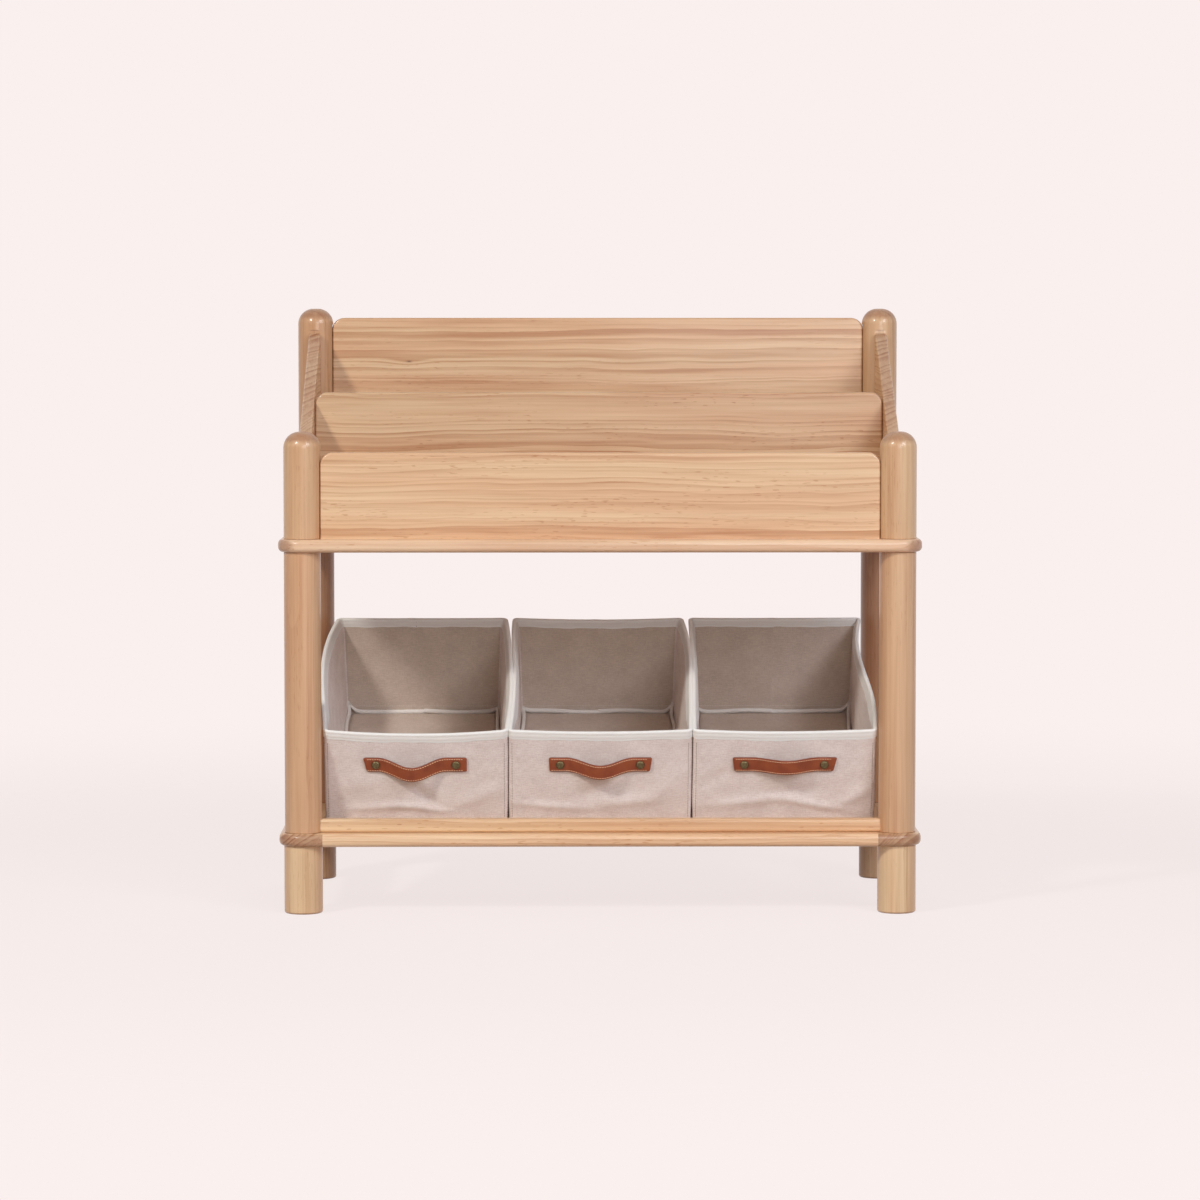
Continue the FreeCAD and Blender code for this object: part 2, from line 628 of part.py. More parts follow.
def make_rail_dowels():
    """Dowels of the lip, the front rail and the rear support rail."""
    body = new_body("rail_dowels", several=True)
    rail_z = "foot_height + board_thickness / 2"
    joints = {
        "lip_half": [("-post_y", "leg_base + lip_height / 2")],
        "support_half": [("post_y", "support_dowel_low"), ("post_y", "support_dowel_high")],
        "rail_inner_x": [("front_rail_dowel_front", rail_z), ("front_rail_dowel_back", rail_z)],
    }
    for joint, centres in joints.items():
        for side in (LEFT, RIGHT):
            sketch = new_sketch(body, "YZ_Plane", f"{side} * {joint}")
            draw_circles(sketch, centres, "dowel_diameter")
            pad(body, sketch, "rail_dowel_length", symmetric=True)
    keep(body)


def bin_body(label, column, several=False):
    """Body in a bin's own frame: X across, Y along the floor, Z up the walls from the front bottom edge."""
    return new_body(label, f"{column} * bin_pitch", "bin_y", "bin_z", tilted=True, several=several)


def is_upright(points):
    """Whether an edge runs up a wall."""
    return abs(points[0].z - points[2].z) > 1 and same(points[0].x, points[2].x) \
        and same(points[0].y, points[2].y)


def add_tub(body, outset, height):
    """Upright tube with round corners, outset from the outside of a bin."""
    sketch = new_sketch(body, "XY_Plane")
    draw_rectangle(sketch, f"-bin_width / 2 - {outset}", f"bin_width / 2 + {outset}",
                   f"-{outset}", f"bin_length + {outset}")
    pad(body, sketch, height)
    fillet(body, f"bin_corner_radius + {outset}", is_upright)


def hollow_tub(body, inset, base):
    """Cut out the inside of a tub from a height upwards, with round corners."""
    sketch = new_sketch(body, "XY_Plane", base)
    draw_rectangle(sketch, f"-bin_width / 2 + {inset}", f"bin_width / 2 - {inset}",
                   inset, f"bin_length - ({inset})")
    pocket(body, sketch, "2 * bin_rear_height", along_normal=True)
    half_x = f"bin_width / 2 - ({inset})"
    fillet(body, f"bin_corner_radius - ({inset})",
           lambda points: is_upright(points) and near(abs(points[0].x), half_x))


def trim_rim(body, lift, above):
    """Cut a bin's wall above or below its sloping rim, lifted along the wall."""
    front = f"bin_front_height + {lift} - rim_slope * {CUT_MARGIN}"
    back = f"bin_rear_height + {lift} + rim_slope * {CUT_MARGIN}"
    limit = "2 * bin_rear_height" if above else "-1"
    sketch = new_sketch(body, "YZ_Plane")
    draw_polygon(sketch, [(f"-{CUT_MARGIN}", front), (f"bin_length + {CUT_MARGIN}", back),
                          (f"bin_length + {CUT_MARGIN}", limit), (f"-{CUT_MARGIN}", limit)])
    pocket(body, sketch)


def rivet_places():
    """Centres of a strap's rivets on the front wall."""
    return [(f"{side} * rivet_spacing / 2", "strap_z") for side in (LEFT, RIGHT)]


def make_bin_shell(name, column):
    """Stiffened fabric tub, lower in front than behind, with rivet holes in its front wall."""
    body = bin_body(f"{name}_bin_shell", column)
    add_tub(body, "0", "bin_rear_height + tape_height")
    hollow_tub(body, "bin_wall", "bin_wall")
    trim_rim(body, "0", above=True)
    holes = new_sketch(body, "XZ_Plane")
    draw_circles(holes, rivet_places(), "rivet_shank_diameter + rivet_play")
    pocket(body, holes, f"bin_wall + {CUT_MARGIN}")
    keep(body)
    return body


def make_rim_binding(name, column, shell):
    """Tape folded over the rim, inside and outside the wall."""
    band = bin_body(f"{name}_bin_rim_band", column)
    add_tub(band, "tape_thickness", "bin_rear_height + tape_height")
    hollow_tub(band, "bin_wall + tape_thickness", "0")
    trim_rim(band, "tape_thickness", above=True)
    trim_rim(band, "-tape_height", above=False)
    tape = doc.addObject("Part::Cut", f"{name}_bin_rim_binding")
    tape.Label = f"{name}_bin_rim_binding"
    tape.Base = band
    tape.Tool = shell
    keep(tape)


def make_floor_binding(name, column):
    """Bound seam round the inside of the floor."""
    body = bin_body(f"{name}_bin_floor_binding", column)
    sketch = new_sketch(body, "XY_Plane", "bin_wall")
    draw_rectangle(sketch, "-bin_width / 2 + bin_wall", "bin_width / 2 - bin_wall",
                   "bin_wall", "bin_length - bin_wall")
    pad(body, sketch, "seam_height")
    fillet(body, "bin_corner_radius - bin_wall", is_upright)
    hollow_tub(body, "bin_wall + seam_width", "0")
    keep(body)


def make_base_board(name, column):
    """Stiff board on the floor, inside the bound seam."""
    body = bin_body(f"{name}_bin_base_board", column)
    inset = "bin_wall + seam_width + base_board_gap"
    sketch = new_sketch(body, "XY_Plane", "bin_wall")
    draw_rectangle(sketch, f"-bin_width / 2 + {inset}", f"bin_width / 2 - ({inset})",
                   inset, f"bin_length - ({inset})")
    pad(body, sketch, "base_board_thickness")
    keep(body)


def make_strap(name, column):
    """Leather strap, flat on the wall under its rivets and bowed out between them."""
    body = bin_body(f"{name}_bin_strap", column)
    back = [("strap_length / 2", "0"), ("strap_foot", "0"), ("strap_crown", "-strap_bow")]
    front = [("strap_crown + strap_mitre", "-strap_bow - strap_thickness"),
             ("strap_foot + strap_mitre", "-strap_thickness"), ("strap_length / 2", "-strap_thickness")]
    mirrored_back = [(f"-({x})", y) for x, y in reversed(back)]
    mirrored_front = [(f"-({x})", y) for x, y in reversed(front)]
    sketch = new_sketch(body, "XY_Plane", "strap_z - strap_width / 2")
    draw_polygon(sketch, back + mirrored_back + mirrored_front + front)
    pad(body, sketch, "strap_width")
    fillet(body, "strap_bend_radius",
           lambda points: is_upright(points) and not near(abs(points[0].x), "strap_length / 2"))
    fillet(body, "strap_end_radius",
           lambda points: all(near(abs(point.x), "strap_length / 2") for point in points)
           and near(abs(points[0].y - points[2].y), "strap_thickness"))
    holes = new_sketch(body, "XZ_Plane")
    draw_circles(holes, rivet_places(), "rivet_shank_diameter + rivet_play")
    pocket(body, holes)
    keep(body)


def make_rivets(name, column):
    """Two rivets through strap and wall, with domed heads outside and caps inside."""
    body = bin_body(f"{name}_bin_rivets", column, several=True)
    sketch = new_sketch(body, "XY_Plane", "strap_z")
    sketch.setExpression("AttachmentOffset.Base.x", formula("rivet_spacing / 2"))
    head, shank = "rivet_head_diameter / 2", "rivet_shank_diameter / 2"
    draw_polygon(sketch, [
        ("0", "-strap_thickness - rivet_head_height"), ("0", "bin_wall + rivet_cap_height"),
        (head, "bin_wall + rivet_cap_height"), (head, "bin_wall"), (shank, "bin_wall"),
        (shank, "-strap_thickness"), (head, "-strap_thickness"),
        (head, "-strap_thickness - rivet_head_height")])
    turned = revolve(body, sketch)
    fillet(body, "rivet_head_height * 0.9",
           lambda points: all(near(point.y, "-strap_thickness - rivet_head_height") for point in points)
           and abs(points[0].x - points[1].x) > 1)
    rounded = body.Tip
    plane = next(item for item in body.Origin.OriginFeatures if item.Role == "YZ_Plane")
    mirrored = body.newObject("PartDesign::Mirrored", f"{body.Name}_mirror")
    mirrored.Originals = [turned, rounded]
    mirrored.MirrorPlane = (plane, [""])
    body.Tip = mirrored
    keep(body)


def make_bin(name, column):
    """One fabric bin with its binding, base board, strap and rivets."""
    shell = make_bin_shell(name, column)
    make_rim_binding(name, column, shell)
    make_floor_binding(name, column)
    make_base_board(name, column)
    make_strap(name, column)
    make_rivets(name, column)


def check_document():
    """Stop if any object failed or any piece has no valid solid."""
    doc.recompute()
    for item in doc.Objects:
        if {"Invalid", "Error"} & set(item.State):
            raise ValueError(f"{item.Label}: {item.State}")
    for node in nodes:
        if node.Shape.isNull() or not node.Shape.isValid() or not node.Shape.Solids:
            raise ValueError(f"{node.Label} has no valid solid")


def write_parts():
    """Write one STEP file for each piece."""
    os.makedirs("parts", exist_ok=True)
    for node in nodes:
        node.Shape.exportStep(f"parts/{node.Label}.step")
        box = node.Shape.BoundBox
        print(f"{node.Label}: {len(node.Shape.Solids)} solid(s), "
              f"{box.XLength:.1f} x {box.YLength:.1f} x {box.ZLength:.1f} mm")


for side_name in SIDES:
    for end_name in ENDS:
        make_upper_post(side_name, end_name)
        make_leg(side_name, end_name)
        make_foot(side_name, end_name)
    make_end_panel(side_name)
    make_end_rail(side_name)
make_display_panel("front_panel", "-post_y", "front_panel_height", "panel_half", "dowel_depth")
make_display_panel("middle_panel", "0", "middle_panel_height", "middle_half",
                   "side_dowel_rest + dowel_end_play")
make_display_panel("back_panel", "post_y", "back_panel_height", "panel_half", "dowel_depth")
make_upper_shelf()
make_front_rail()
make_front_lip()
make_slanted_shelf()
make_rear_support_rail()
make_studs("shelf_studs", "shelf_base")
make_studs("foot_studs", "foot_height")
make_inserts()
make_panel_dowels()
make_end_panel_dowels()
make_rail_dowels()
for bin_name, bin_column in (("left", -1), ("middle", 0), ("right", 1)):
    make_bin(bin_name, bin_column)
check_document()
write_parts()
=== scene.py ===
"""Looks of the children's bookshelf: lacquered pine frame and three canvas bins with leather straps.

Frame: metres, +X to the right, +Y to the back, +Z up, as packed. The wooden pieces are the CAD nodes with
a solid pine texture. The bins are sewn canvas, built here from wall formulas in each bin's own tilted frame.
"""

import logging
import math
from dataclasses import dataclass
from enum import Enum

import bpy
import numpy as np
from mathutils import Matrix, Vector


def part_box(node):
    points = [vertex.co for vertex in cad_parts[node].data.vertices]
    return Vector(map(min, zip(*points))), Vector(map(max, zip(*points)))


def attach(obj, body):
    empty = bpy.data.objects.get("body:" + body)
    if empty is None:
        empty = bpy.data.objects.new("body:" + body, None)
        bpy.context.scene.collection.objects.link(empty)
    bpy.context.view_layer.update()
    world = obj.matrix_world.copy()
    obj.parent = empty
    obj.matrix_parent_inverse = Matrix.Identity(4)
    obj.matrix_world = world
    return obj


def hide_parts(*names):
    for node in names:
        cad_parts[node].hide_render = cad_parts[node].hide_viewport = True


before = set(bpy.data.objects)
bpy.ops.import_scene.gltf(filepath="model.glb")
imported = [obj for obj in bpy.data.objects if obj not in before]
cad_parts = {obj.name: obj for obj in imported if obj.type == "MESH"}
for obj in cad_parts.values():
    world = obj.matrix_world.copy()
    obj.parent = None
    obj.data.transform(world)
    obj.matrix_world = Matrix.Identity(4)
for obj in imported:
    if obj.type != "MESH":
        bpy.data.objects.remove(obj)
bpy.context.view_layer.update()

Colour = tuple[float, float, float]
Numbers = float | np.ndarray
Socket = bpy.types.NodeSocket
Material = bpy.types.Material

log = logging.getLogger("bookshelf")


class Axis(Enum):
    """Direction of the grain in a piece of wood."""

    X = 0
    Y = 1
    Z = 2


class Side(Enum):
    """Bins from left to right, with their words in the nodes' names."""

    LEFT = "left"
    MIDDLE = "middle"
    RIGHT = "right"


def srgb(red: float, green: float, blue: float) -> tuple[float, float, float, float]:
    """Linear colour with alpha from display values of 0 to 255."""
    display = np.array([red, green, blue]) / 255
    linear = np.where(display <= 0.04045, display / 12.92, ((display + 0.055) / 1.055) ** 2.4)
    return (*(float(part) for part in linear), 1.0)


def smooth(low: float, high: float, values: np.ndarray) -> np.ndarray:
    """Ease from 0 at low to 1 at high."""
    share = np.clip((values - low) / (high - low), 0, 1)
    return share * share * (3 - 2 * share)


def dress(name: str, material: Material) -> None:
    """Put a material on a CAD node, and log it."""
    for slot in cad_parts[name].material_slots:
        slot.material = material
    log.info("%s: %s", name, material.name)


class Graph:
    """Short way to write the nodes of one material."""

    def __init__(self, name: str) -> None:
        """Start an empty material with an output and a Principled shader.

        Args:
            name: name of the material.
        """
        self.material = bpy.data.materials.new(name)
        self.material.use_nodes = True
        self.tree = self.material.node_tree
        self.tree.nodes.clear()
        self.output = self.add("ShaderNodeOutputMaterial")
        self.shader = self.add("ShaderNodeBsdfPrincipled")
        self.tree.links.new(self.shader.outputs[0], self.output.inputs["Surface"])

    def add(self, kind: str, **settings: object) -> bpy.types.Node:
        """New node with its properties set."""
        node = self.tree.nodes.new(kind)
        for key, value in settings.items():
            setattr(node, key, value)
        return node

    def feed(self, socket: Socket, value: object) -> None:
        """Link a socket, or write a constant on it."""
        if isinstance(value, Socket):
            self.tree.links.new(value, socket)
        else:
            socket.default_value = value

    def set(self, **inputs: object) -> None:
        """Feed the Principled shader, with underscores for the spaces in its names."""
        for key, value in inputs.items():
            self.feed(self.shader.inputs[key.replace("_", " ")], value)

    def math(self, operation: str, first: object, second: object = 0.0, third: object = 0.0) -> Socket:
        """Math node of up to three numbers."""
        node = self.add("ShaderNodeMath", operation=operation)
        for socket, value in zip(node.inputs, (first, second, third)):
            self.feed(socket, value)
        return node.outputs[0]

    def scaled(self, value: object, factor: float, plus: object) -> Socket:
        """A value times a factor, plus another value."""
        return self.math("MULTIPLY_ADD", value, factor, plus)

    def distance(self, first: Socket, second: Socket) -> Socket:
        """Length of a flat vector from its two parts."""
        squares = [self.math("POWER", part, 2.0) for part in (first, second)]
        return self.math("SQRT", self.math("ADD", *squares))

    def ease(self, value: object, low: float, high: float) -> Socket:
        """Smooth step from 0 at low to 1 at high."""
        node = self.add("ShaderNodeMapRange", interpolation_type="SMOOTHSTEP")
        self.feed(node.inputs["Value"], value)
        node.inputs["From Min"].default_value = low
        node.inputs["From Max"].default_value = high
        return node.outputs["Result"]

    def blend(self, share: object, first: object, second: object, how: str = "MIX") -> Socket:
        """Mix of two colours."""
        node = self.add("ShaderNodeMix", data_type="RGBA", blend_type=how)
        self.feed(node.inputs[0], share)
        self.feed(node.inputs[6], first)
        self.feed(node.inputs[7], second)
        return node.outputs[2]

    def coordinates(self, kind: str) -> list[Socket]:
        """The three parts of a texture coordinate such as Object or UV."""
        source = self.add("ShaderNodeTexCoord")
        parts = self.add("ShaderNodeSeparateXYZ")
        self.feed(parts.inputs[0], source.outputs[kind])
        return list(parts.outputs)

    def stretched(self, parts: list, scales: tuple[float, float, float], shift: float) -> Socket:
        """Vector of three coordinates, each times its own scale, with one shift."""
        node = self.add("ShaderNodeCombineXYZ")
        for socket, part, scale in zip(node.inputs, parts, scales):
            self.feed(socket, self.scaled(part, scale, shift))
        return node.outputs[0]

    def noise(self, parts: list, scales: tuple[float, float, float], shift: float, detail: float,
              roughness: float = 0.5) -> Socket:
        """Noise of about 0 to 1 over stretched coordinates."""
        node = self.add("ShaderNodeTexNoise", noise_dimensions="3D")
        self.feed(node.inputs["Vector"], self.stretched(parts, scales, shift))
        node.inputs["Scale"].default_value = 1.0
        node.inputs["Detail"].default_value = detail
        node.inputs["Roughness"].default_value = roughness
        return node.outputs[0]

    def bump(self, height: Socket, distance: float) -> Socket:
        """Normal from a height of 0 to 1 that stands for a distance in metres."""
        node = self.add("ShaderNodeBump")
        self.feed(node.inputs["Height"], height)
        node.inputs["Distance"].default_value = distance
        return node.outputs[0]


@dataclass(frozen=True)
class Cut:
    """How a piece was sawn from its log, and how strong its figure is.

    The offset leads from the middle of the piece to the pith, in the two directions across the grain. A knot
    has its place along the grain and in the second direction across it.
    """

    grain: Axis
    offset: tuple[float, float]
    ring: float = 0.0085
    contrast: float = 0.85
    cloud: float = 0.5
    pores: float = 0.5
    tone: tuple[float, float, float] = (1.0, 1.0, 1.0)
    knot: tuple[float, float] | None = None


@dataclass(frozen=True)
class Pine:
    """Clear-lacquered pine: growth rings round a pith that runs along the grain.

    The rings are a solid texture, so faces, edges and end grain of a piece belong together. Slow noise moves
    the rings by the wander and quicker noise by the ripple, and a knot pulls at those within its reach.
    """

    name: str
    cut: Cut
    pith: tuple[float, float]
    seed: float
    early: Colour = (231, 198, 159)
    late: Colour = (184, 132, 88)
    rosy: Colour = (247, 235, 229)
    end_grain: Colour = (214, 200, 196)
    knot: Colour = (104, 62, 42)
    wander: float = 0.026
    ripple: float = 0.0042
    knot_pull: float = 0.004
    knot_reach: tuple[float, float] = (0.026, 0.007)
    knot_core: tuple[float, float] = (0.0034, 0.0013)

    def shade(self, colour: Colour) -> tuple[float, float, float, float]:
        """Colour of this piece, with its own tone."""
        return srgb(*(part * share for part, share in zip(colour, self.cut.tone)))

    def bell(self, graph: Graph, along: Socket, across: Socket, reach: tuple[float, float]) -> Socket:
        """Oval bell round the knot, with its reach along and across the grain."""
        run, rise = (graph.math("POWER", graph.math("SUBTRACT", part, place), 2.0)
                     for part, place in zip((along, across), self.cut.knot))
        power = graph.scaled(run, 1 / reach[0] ** 2, graph.math("MULTIPLY", rise, 1 / reach[1] ** 2))
        return graph.math("EXPONENT", graph.math("MULTIPLY", power, -1.0))

    def rings(self, graph: Graph, local: list[Socket], swirl: object) -> Socket:
        """Latewood of the growth rings: each ring darkens slowly, by its own strength, and ends sharply.

        Args:
            graph: nodes of the material.
            local: the place along the grain, and the two places across it from the pith.
            swirl: how much a knot bends the rings, from 0 to 1.

        Returns:
            The share of latewood, from 0 to about 1.
        """
        slow = graph.noise(local, (3.0, 7, 7), self.seed, 3.0)
        quick = graph.noise(local, (7, 24, 24), self.seed + 7, 1.0)
        radius = graph.distance(local[1], local[2])
        for part, reach in ((slow, self.wander), (quick, self.ripple), (swirl, self.knot_pull)):
            radius = graph.scaled(part, reach, radius)
        drift = graph.add("ShaderNodeTexNoise", noise_dimensions="1D")
        graph.feed(drift.inputs["W"], graph.scaled(radius, 48.0, self.seed))
        drift.inputs["Scale"].default_value = 1.0
        turns = graph.math("ADD", graph.math("DIVIDE", radius, self.cut.ring),
                           graph.math("MULTIPLY", drift.outputs[0], 3.2))
        saw = graph.math("FRACT", turns)
        depth = graph.add("ShaderNodeTexWhiteNoise", noise_dimensions="1D")
        graph.feed(depth.inputs["W"], graph.math("ADD", graph.math("FLOOR", turns), self.seed))
        rise = graph.math("POWER", graph.ease(saw, 0.08, 0.95), 1.5)
        latewood = graph.math("SUBTRACT", rise, graph.ease(saw, 0.955, 1.0))
        fade = graph.noise(local, (4.0, 55, 55), self.seed + 31, 2.0)
        contrast = self.cut.contrast
        strength = graph.scaled(depth.outputs["Value"], 0.65 * contrast, 0.35 * contrast)
        strength = graph.math("MULTIPLY", strength, graph.scaled(fade, 2.1, -0.05))
        return graph.math("MULTIPLY", latewood, strength)

    def material(self) -> Material:
        """Build the nodes.

        Returns:
            The finished material.
        """
        graph = Graph(self.name)
        cut = self.cut
        parts = graph.coordinates("Object")
        along = parts[cut.grain.value]
        across = [part for number, part in enumerate(parts) if number != cut.grain.value]
        local = [along] + [graph.math("SUBTRACT", part, place) for part, place in zip(across, self.pith)]
        swirl, spot = 0.0, 0.0
        if cut.knot:
            swirl, spot = (self.bell(graph, along, across[1], reach)
                           for reach in (self.knot_reach, self.knot_core))
        latewood = self.rings(graph, local, swirl)
        fibre = graph.noise(local, (9, 520, 520), self.seed + 3, 3.0, 0.6)
        streak = graph.noise(local, (4, 210, 210), self.seed + 17, 3.0, 0.6)
        cloud = graph.noise(local, (2.6, 26, 26), self.seed + 11, 2.0)
        share = latewood
        for texture, weight in ((fibre, 0.64), (streak, 0.90), (cloud, 1.6 * cut.cloud)):
            share = graph.math("ADD", share, graph.scaled(texture, weight, -weight / 2))
        pore = graph.ease(graph.noise(local, (80, 680, 680), self.seed + 5, 0.0), 0.69, 0.77)
        herd = graph.ease(graph.noise(local, (5, 30, 30), self.seed + 13, 1.0), 0.40, 0.60)
        pore = graph.math("MULTIPLY", pore, graph.math("MULTIPLY", herd, cut.pores))
        share = graph.math("ADD", share, pore)
        colour = graph.blend(graph.ease(share, -0.40, 1.05), self.shade(self.early), self.shade(self.late))
        tint = graph.ease(graph.noise(local, (1.4, 34, 34), self.seed + 23, 2.0), 0.36, 0.64)
        colour = graph.blend(tint, colour, srgb(*self.rosy), "MULTIPLY")
        colour = graph.blend(graph.math("MULTIPLY", spot, 0.85), colour, srgb(*self.knot))
        facing = graph.math("ABSOLUTE", graph.coordinates("Normal")[cut.grain.value])
        colour = graph.blend(graph.ease(facing, 0.2, 0.6), colour, srgb(*self.end_grain), "MULTIPLY")
        relief = graph.scaled(fibre, 0.6, graph.math("MULTIPLY", latewood, 0.1))
        gloss = graph.scaled(fibre, 0.12, 0.36)
        graph.set(Base_Color=colour, Roughness=gloss, Normal=graph.bump(relief, 0.00010),
                  Coat_Weight=0.45, Coat_Roughness=0.14)
        return graph.material


@dataclass(frozen=True)
class Metal:
    """Metal with a cloudy patina and fine scratches."""

    name: str
    bright: Colour
    dull: Colour
    roughness: float
    patina: float = 900.0

    def material(self) -> Material:
        """Build the nodes."""
        graph = Graph(self.name)
        parts = graph.coordinates("Object")
        cloud = graph.noise(parts, (self.patina,) * 3, 0.0, 3.0)
        scratch = graph.noise(parts, (400, 6000, 900), 0.0, 2.0)
        colour = graph.blend(graph.ease(cloud, 0.3, 0.7), srgb(*self.bright), srgb(*self.dull))
        rough = graph.scaled(cloud, 0.25, self.roughness - 0.1)
        graph.set(Base_Color=colour, Metallic=1.0, Roughness=rough, Normal=graph.bump(scratch, 0.00004))
        return graph.material


@dataclass(frozen=True)
class Canvas:
    """Plain-woven heathered cloth with slubs both ways and pale flecks; its UV is in metres of cloth."""

    name: str
    light: Colour
    dark: Colour
    thread: float = 0.0011
    slub: float = 0.62
    relief: float = 0.00022

    def material(self) -> Material:
        """Build the nodes."""
        graph = Graph(self.name)
        across, up, _ = graph.coordinates("UV")
        turn = 2 * math.pi / self.thread
        warp = graph.math("SINE", graph.math("MULTIPLY", across, turn))
        weft = graph.math("SINE", graph.math("MULTIPLY", up, turn))
        weave = graph.scaled(graph.math("MULTIPLY", warp, weft), 0.5, 0.5)
        flat = [across, up, 0.0]
        lying = graph.noise(flat, (110, 760, 0), 0.0, 3.0, 0.65)
        upright = graph.noise(flat, (760, 110, 0), 9.0, 3.0, 0.65)
        fleck = graph.noise(flat, (650, 900, 0), 13.0, 1.0)
        cloud = graph.noise(flat, (28, 40, 0), 4.0, 3.0)
        threads = graph.scaled(lying, 0.68, graph.math("MULTIPLY", upright, 0.32))
        share = 0.5
        weights = ((threads, 3.6 * self.slub), (cloud, 0.8), (fleck, -1.5 * self.slub), (weave, -0.25))
        for texture, weight in weights:
            share = graph.scaled(graph.math("SUBTRACT", texture, 0.5), weight, share)
        colour = graph.blend(graph.ease(share, 0.0, 1.0), srgb(*self.light), srgb(*self.dark))
        height = graph.scaled(threads, 0.8, weave)
        graph.set(Base_Color=colour, Roughness=0.92, Normal=graph.bump(height, self.relief),
                  Specular_IOR_Level=0.2, Sheen_Weight=0.08, Sheen_Roughness=0.5)
        return graph.material


@dataclass(frozen=True)
class Twill:
    """White cotton tape: fine ribs across it, and on a rim a greyer band of painted shade between its two
    rows of stitches.

    Its UV is in metres along the tape and across it, and the band is given from either edge.
    """

    name: str
    light: Colour
    dark: Colour
    rib: float = 0.0018
    breadth: float = 0.0208
    band: tuple[float, float] | None = None
    blur: float = 0.0005

    def material(self) -> Material:
        """Build the nodes."""
        graph = Graph(self.name)
        along, across, _ = graph.coordinates("UV")
        slant = graph.scaled(across, 0.6, along)
        ribs = graph.math("SINE", graph.math("MULTIPLY", slant, 2 * math.pi / self.rib))
        ribs = graph.scaled(ribs, 0.5, 0.5)
        flat = [along, across, 0.0]
        fuzz = graph.noise(flat, (700, 1500, 0), 0.0, 3.0, 0.6)
        soil = graph.noise(flat, (30, 120, 0), 5.0, 2.0)
        share = graph.scaled(ribs, 0.35, graph.scaled(fuzz, 0.7, -0.25))
        share = graph.scaled(soil, 0.4, share)
        # Painted shade: greys the tape between its stitch rows, so the crest and lower edges read as lit.
        if self.band:
            edge = graph.math("MINIMUM", across, graph.math("SUBTRACT", self.breadth, across))
            inside, past = (graph.ease(edge, place - self.blur, place + self.blur) for place in self.band)
            share = graph.scaled(graph.math("SUBTRACT", inside, past), 0.40, share)
        colour = graph.blend(graph.ease(share, 0.1, 1.0), srgb(*self.light), srgb(*self.dark))
        height = graph.scaled(fuzz, 0.5, ribs)
        graph.set(Base_Color=colour, Roughness=0.88, Normal=graph.bump(height, 0.00020),
                  Specular_IOR_Level=0.2)
        return graph.material


@dataclass(frozen=True)
class Leather:
    """Smooth saddle leather: fine pebbled grain, with darker burnished edges; UV across runs from 0 to 1."""

    name: str
    light: Colour
    dark: Colour
    edge: Colour

    def material(self) -> Material:
        """Build the nodes."""
        graph = Graph(self.name)
        parts = graph.coordinates("Object")
        across = graph.coordinates("UV")[1]
        cells = graph.add("ShaderNodeTexVoronoi", feature="DISTANCE_TO_EDGE")
        graph.feed(cells.inputs["Vector"], graph.stretched(parts, (1500,) * 3, 0.0))
        cells.inputs["Scale"].default_value = 1.0
        grain = graph.ease(cells.outputs["Distance"], 0.0, 0.25)
        cloud = graph.noise(parts, (70,) * 3, 0.0, 3.0)
        colour = graph.blend(graph.ease(cloud, 0.3, 0.7), srgb(*self.light), srgb(*self.dark))
        rim = graph.math("ABSOLUTE", graph.scaled(across, 2.0, -1.0))
        colour = graph.blend(graph.ease(rim, 0.88, 0.99), colour, srgb(*self.edge))
        rough = graph.scaled(cloud, 0.2, 0.36)
        graph.set(Base_Color=colour, Roughness=rough, Normal=graph.bump(grain, 0.00008))
        return graph.material


@dataclass(frozen=True)
class Thread:
    """Twisted sewing thread; UV runs along each stitch."""

    name: str
    light: Colour
    dark: Colour

    def material(self) -> Material:
        """Build the nodes."""
        graph = Graph(self.name)
        along, around, _ = graph.coordinates("UV")
        turn = graph.scaled(along, 18.0, graph.math("MULTIPLY", around, 2 * math.pi))
        twist = graph.scaled(graph.math("SINE", turn), 0.5, 0.5)
        colour = graph.blend(twist, srgb(*self.light), srgb(*self.dark))
        graph.set(Base_Color=colour, Roughness=0.7, Normal=graph.bump(twist, 0.00005))
        return graph.material


def grid_cells(rows: int, columns: int, around: bool) -> tuple[np.ndarray, np.ndarray]:
    """Rows and columns of the four corners of each cell of a grid.

    Args:
        rows: number of rows of points.
        columns: number of columns of points.
        around: whether the last column joins the first, which then counts as one more column.

    Returns:
        Two arrays of cells by 4.
    """
    last = columns if around else columns - 1
    row, column = np.meshgrid(np.arange(rows - 1), np.arange(last), indexing="ij")
    return row.reshape(-1, 1) + [0, 0, 1, 1], column.reshape(-1, 1) + [0, 1, 1, 0]


def mesh_piece(name: str, points: np.ndarray, faces: list, marks: np.ndarray) -> bpy.types.Object:
    """Smooth mesh in the scene.

    Args:
        name: name of the piece.
        points: its points, in metres, the last axis X, Y and Z.
        faces: numbers of the points of each face.
        marks: texture coordinates of the faces' corners, in order.

    Returns:
        The new object.
    """
    mesh = bpy.data.meshes.new(name)
    mesh.from_pydata(points.reshape(-1, 3).tolist(), [], faces)
    mesh.uv_layers.new(name="cloth").data.foreach_set("uv", marks.astype(np.float32).ravel())
    mesh.polygons.foreach_set("use_smooth", np.ones(len(mesh.polygons), bool))
    piece = bpy.data.objects.new(name, mesh)
    bpy.context.scene.collection.objects.link(piece)
    return piece


